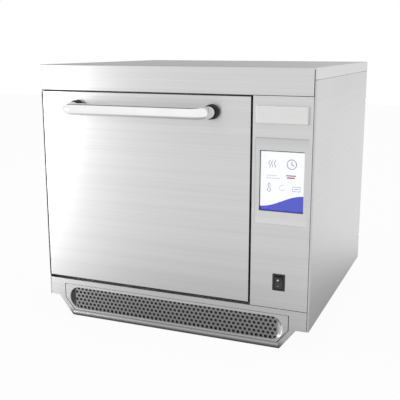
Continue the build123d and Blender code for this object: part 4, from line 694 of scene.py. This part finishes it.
def litPrint(name, tone, spread):  # a lit display shows its colour by itself
    material, tree, shader = newMaterial(name)
    mottle = addMottle(tree, display["mottleScale"])
    dark = [value * (1 - spread) for value in tone]
    wire(tree, blendColors(tree, mottle, dark, tone), shader.inputs["Emission Color"])
    shader.inputs["Emission Strength"].default_value = display["brightness"]
    darkUnlit = [value * display["darkUnlit"] for value in dark]
    lightUnlit = [value * display["lightUnlit"] for value in tone]
    wire(tree, blendColors(tree, mottle, darkUnlit, lightUnlit), shader.inputs["Base Color"])
    rough = mapValue(tree, mottle, 0.0, 1.0, display["smoothest"], display["roughest"])
    wire(tree, rough, shader.inputs["Roughness"])
    return material


def clearGlass(name):
    material, tree, shader = newMaterial(name)
    shader.inputs["Base Color"].default_value = pane["tone"]
    shader.inputs["Transmission Weight"].default_value = 1.0
    shader.inputs["IOR"].default_value = pane["bending"]
    smear = addMottle(tree, pane["smearScale"], pane["clean"], pane["smeared"])
    wire(tree, smear, shader.inputs["Roughness"])
    return material


def makePane():
    low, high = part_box("touch_glass")
    back = low.y + pane["thickness"]
    glass = addSheet((low.x, low.y, low.z), (high.x, back, high.z), pane["rounding"])
    finishPiece(glass, "glassPane", clearGlass("screenGlass"), "chassis")
    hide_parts("touch_glass")


def makeSymbols(width, height, corner, colors):
    ratio = height / width

    def symbol(name, strokes, closed, material, heavy=1.0):
        placed = [[(across * width, up * width) for across, up in stroke] for stroke in strokes]
        weight = display["strokeWeight"] * heavy
        piece = addOutline(name, placed, closed, weight, corner, display["layer"])
        finishPiece(piece, name, material, "chassis")

    slate, pale = colors["displaySlate"], colors["displayPale"]
    middle = (dial["across"], ratio * dial["up"])
    symbol("dialRing", [ringPoints(middle, dial["radius"])], True, slate)
    longTip = (middle[0], middle[1] + dial["longHand"])
    shortTip = (middle[0] + dial["shortHand"][0], middle[1] + dial["shortHand"][1])
    symbol("dialHands", [[longTip, middle, shortTip]], False, slate)

    wisps = []
    for column in range(steam["count"]):
        wisp = []
        start = steam["across"] + steam["gap"] * column
        for step in range(steam["steps"]):
            across = start + steam["sway"] * math.sin(step * steam["turn"])
            wisp.append((across, ratio * steam["up"] + steam["rise"] * step))
        wisps.append(wisp)
    symbol("steamLines", wisps, False, slate, symbolWeight["thin"])

    for name, color, heavy, places in bars:
        strokes = [[(left, ratio * up), (right, ratio * up)] for left, right, up in places]
        symbol(name, strokes, False, colors[color], heavy)

    across, up = thermometer["across"], ratio * thermometer["up"]
    bulbMiddle = (across, up - thermometer["bulbDrop"])
    tubeMiddle = (across, up + thermometer["tubeRise"])
    bulb = arcPoints(bulbMiddle, thermometer["bulbRadius"], *thermometer["bulbArc"])
    tube = arcPoints(tubeMiddle, thermometer["tubeRadius"], *thermometer["tubeArc"])
    symbol("thermometer", [bulb + tube], True, slate, symbolWeight["thin"])

    loop = arcPoints((turnLoop["across"], ratio * turnLoop["up"]), turnLoop["radius"], *turnLoop["arc"])
    symbol("turnLoop", [loop], False, pale, symbolWeight["loop"])

    left, right, low, high = tray["left"], tray["right"], ratio * tray["low"], ratio * tray["high"]
    frameLine = [(left, low), (right, low), (right, high), (left, high)]
    symbol("trayFrame", [frameLine], True, slate, symbolWeight["thin"])
    left, right, up = tray["food"]
    symbol("trayLines", [[(left, ratio * up), (right, ratio * up)]], False, slate, symbolWeight["thin"])


def makeDisplay():
    colors = {name: litPrint(name, **values) for name, values in displayColors.items()}
    low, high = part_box("screen_module")
    left, right = low.x + display["border"], high.x - display["border"]
    bottom, top = low.z + display["border"], high.z - display["border"]
    layer = display["layer"]
    front = low.y - display["thickness"]
    panel = addSheet((low.x, front, low.z), (high.x, low.y - layer, high.z), layer)
    finishPiece(panel, "displayMask", finishes["moduleCase"], "chassis")

    # the lit ground stops short at the left and top, leaving strips of painted shade from the recess
    # edges
    width = right - left - display["leftMask"]
    height = top - bottom - display["topMask"]
    corner = (left + display["leftMask"], front - layer, bottom)
    square = [(0, 0), (width, 0), (width, height), (0, height)]
    ground = addFilled("displayGround", square, layer / 2, corner)
    finishPiece(ground, "displayGround", colors["displayWhite"], "chassis")

    crest = []
    for step in range(display["bandSteps"] + 1):
        share = step / display["bandSteps"]
        rise = display["bandLow"] + display["bandRise"] * math.sin(share * math.pi / 2) ** 2
        crest.append((width * share, height * rise))
    corner = (corner[0], corner[1] - layer, corner[2])
    band = addFilled("displayBand", [(0, 0), (width, 0)] + crest[::-1], layer / 2, corner)
    finishPiece(band, "displayBand", colors["displayBlue"], "chassis")
    makeSymbols(width, height, corner, colors)


makePane()
makeDisplay()
print("display made")


# Power switch marks, printed on the two halves of the rocker
switchMarks = {
    "centreRise": 0.0036,
    "endRise": 0.0054,
    "halfHeight": 0.0124,
    "tilt": 8.0,
    "aside": -0.0010,
    "thickness": 0.0001,
    "roughness": 0.5,
    "spread": 0.05,
    "bump": 0.02,
}
ring = {"up": 0.0053, "radius": 0.0015, "weight": 0.0013, "tone": (0.85, 0.85, 0.85)}
dash = {"up": -0.0074, "half": 0.0016, "weight": 0.0012, "tone": (0.38, 0.38, 0.38)}


def makeSwitchMarks():
    joints = {joint["name"]: joint for joint in frame["record"]["behaviour"]["joints"]}
    pivot = Vector(joints["rocker_tilt"]["pos_m"])
    tilt = math.radians(switchMarks["tilt"])
    centre = pivot + switchMarks["centreRise"] * Vector((0, -math.cos(tilt), -math.sin(tilt)))
    slope = math.atan((switchMarks["endRise"] - switchMarks["centreRise"]) / switchMarks["halfHeight"])
    circle = ringPoints((0, 0), ring["radius"])
    line = [(-dash["half"], 0), (dash["half"], 0)]
    marks = (("switchRing", circle, True, ring), ("switchDash", line, False, dash))
    for name, stroke, closed, mark in marks:
        up = mark["up"]
        lean = tilt + math.copysign(slope, up)
        place = centre + up * Vector((0, -math.sin(lean), math.cos(lean)))
        place.x += switchMarks["aside"]
        piece = addOutline(name, [stroke], closed, mark["weight"], place, switchMarks["thickness"], lean)
        ink = moulded(
            name + "Ink", mark["tone"], switchMarks["roughness"],
            spread=switchMarks["spread"], bump=switchMarks["bump"],
        )
        finishPiece(piece, name, ink, "rocker")


makeSwitchMarks()


# Floor, world, lamps, camera
floorLook = {
    "size": 12.0,
    "tone": (0.72, 0.72, 0.72, 1),
    "roughness": 0.9,
    "cameraGlow": 0.95,
    # in mirrors the floor dims towards the object: painted shade
    "nearReach": 0.30,
    "farReach": 0.82,
    "nearGlow": 0.42,
    "farGlow": 1.0,
}
skyLook = {
    "strength": 0.75,
    "front": 1.0,
}
skyPatches = {  # darker parts of the sky that only the metal mirrors
    "rear": {"shade": 0.54, "heading": (-0.50, 0.86, 0.0), "edge": 0.72, "core": 0.92},
    "overhead": {"shade": 0.25, "heading": (-0.42, 0.42, 0.80), "edge": 0.91, "core": 0.96},
}
lamps = {  # the top lamp isn't mirrored: bright metal shows the sky there
    "keySoftbox": {
        "place": (-1.9, -1.7, 0.42), "aim": (-0.2, -0.2, 0.35), "size": (0.94, 0.84), "power": 25,
        "mirrored": True,
    },
    "topSoftbox": {
        "place": (0.4, -0.6, 3.0), "aim": (0, 0, 0.3), "size": (2.4, 2.0), "power": 12,
        "mirrored": False,
    },
}
cameraView = {
    "place": (0.5893, -1.5110, 0.5930),
    "yaw": 22.35,
    "pitch": 12.375,
    "lens": 62.74,
    "sensor": 36,
    "reach": 100,
}


def mirroredRays(tree, path):
    return calculate(tree, "MAXIMUM", path["Is Glossy Ray"], path["Is Transmission Ray"])


def makeFloor():  # white to the camera; in mirrors white further out and dimmer near the object, a painted shade in its reflection
    bpy.ops.object.select_all(action="DESELECT")
    bpy.ops.mesh.primitive_plane_add(size=floorLook["size"], location=(0, 0, 0))
    floor = bpy.context.object
    floor.name = "floor"
    material, tree, shader = newMaterial("paleFloor")
    shader.inputs["Base Color"].default_value = floorLook["tone"]
    shader.inputs["Roughness"].default_value = floorLook["roughness"]
    shader.inputs["Specular IOR Level"].default_value = 0.0
    glow = addNode(tree, "ShaderNodeEmission", {"Color": (1, 1, 1, 1)})
    path = addNode(tree, "ShaderNodeLightPath").outputs
    distance = addNode(tree, "ShaderNodeVectorMath", operation="LENGTH")
    wire(tree, objectVector(tree), distance.inputs[0])
    far = addNode(tree, "ShaderNodeMapRange", interpolation_type="SMOOTHSTEP", values={
        "From Min": floorLook["nearReach"], "From Max": floorLook["farReach"],
        "To Min": floorLook["nearGlow"], "To Max": floorLook["farGlow"],
    })
    wire(tree, distance.outputs["Value"], far.inputs["Value"])
    mirrored = mirroredRays(tree, path)
    shown = calculate(tree, "MULTIPLY_ADD", mirrored, far.outputs["Result"], path["Is Camera Ray"])
    wire(tree, shown, glow.inputs["Strength"])
    seen = calculate(tree, "MULTIPLY", path["Is Camera Ray"], floorLook["cameraGlow"])
    mix = addNode(tree, "ShaderNodeMixShader")
    wire(tree, calculate(tree, "MAXIMUM", seen, mirrored), mix.inputs["Fac"])
    wire(tree, shader.outputs["BSDF"], mix.inputs[1])
    wire(tree, glow.outputs["Emission"], mix.inputs[2])
    wire(tree, mix.outputs["Shader"], tree.nodes["Material Output"].inputs["Surface"])
    floor.data.materials.append(material)


def makeWorld():
    world = bpy.data.worlds.new("studioWorld")
    bpy.context.scene.world = world
    world.use_nodes = True
    tree = world.node_tree
    background = tree.nodes["Background"]
    background.inputs["Color"].default_value = (1, 1, 1, 1)
    path = addNode(tree, "ShaderNodeLightPath").outputs
    coord = addNode(tree, "ShaderNodeTexCoord")
    skies = []
    for patch in skyPatches.values():
        heading = addNode(tree, "ShaderNodeVectorMath", operation="DOT_PRODUCT")
        wire(tree, coord.outputs["Generated"], heading.inputs[0])
        heading.inputs[1].default_value = patch["heading"]
        edge, core, shade = patch["edge"], patch["core"], patch["shade"]
        skies.append(mapValue(tree, heading.outputs["Value"], edge, core, skyLook["front"], shade))
    sky = calculate(tree, "MINIMUM", *skies)
    mirrored = mirroredRays(tree, path)
    direct = calculate(tree, "MAXIMUM", mirrored, path["Is Camera Ray"])
    even = calculate(tree, "SUBTRACT", 1.0, direct)
    strength = calculate(tree, "MULTIPLY_ADD", mirrored, sky, path["Is Camera Ray"])
    strength = calculate(tree, "MULTIPLY_ADD", even, skyLook["strength"], strength)
    wire(tree, strength, background.inputs["Strength"])


def makeCamera():
    lens = bpy.data.cameras.new("photoCamera")
    lens.lens = cameraView["lens"]
    lens.sensor_width = cameraView["sensor"]
    lens.clip_end = cameraView["reach"]
    camera = bpy.data.objects.new("photoCamera", lens)
    camera.location = cameraView["place"]
    pitch, yaw = math.radians(90 - cameraView["pitch"]), math.radians(cameraView["yaw"])
    camera.rotation_euler = (pitch, 0, yaw)
    bpy.context.scene.collection.objects.link(camera)
    bpy.context.scene.camera = camera


def addLamp(name, place, aim, size, power, mirrored):
    lamp = bpy.data.lights.new(name, "AREA")
    lamp.shape = "RECTANGLE"
    lamp.size, lamp.size_y = size
    lamp.energy = power
    holder = bpy.data.objects.new(name, lamp)
    bpy.context.scene.collection.objects.link(holder)
    holder.location = place
    holder.rotation_euler = (Vector(aim) - Vector(place)).to_track_quat("-Z", "Y").to_euler()
    holder.visible_glossy = mirrored


makeFloor()
makeWorld()
makeCamera()
for name, values in lamps.items():
    addLamp(name, **values)
bpy.context.scene.view_settings.view_transform = "Standard"
print("studio ready")
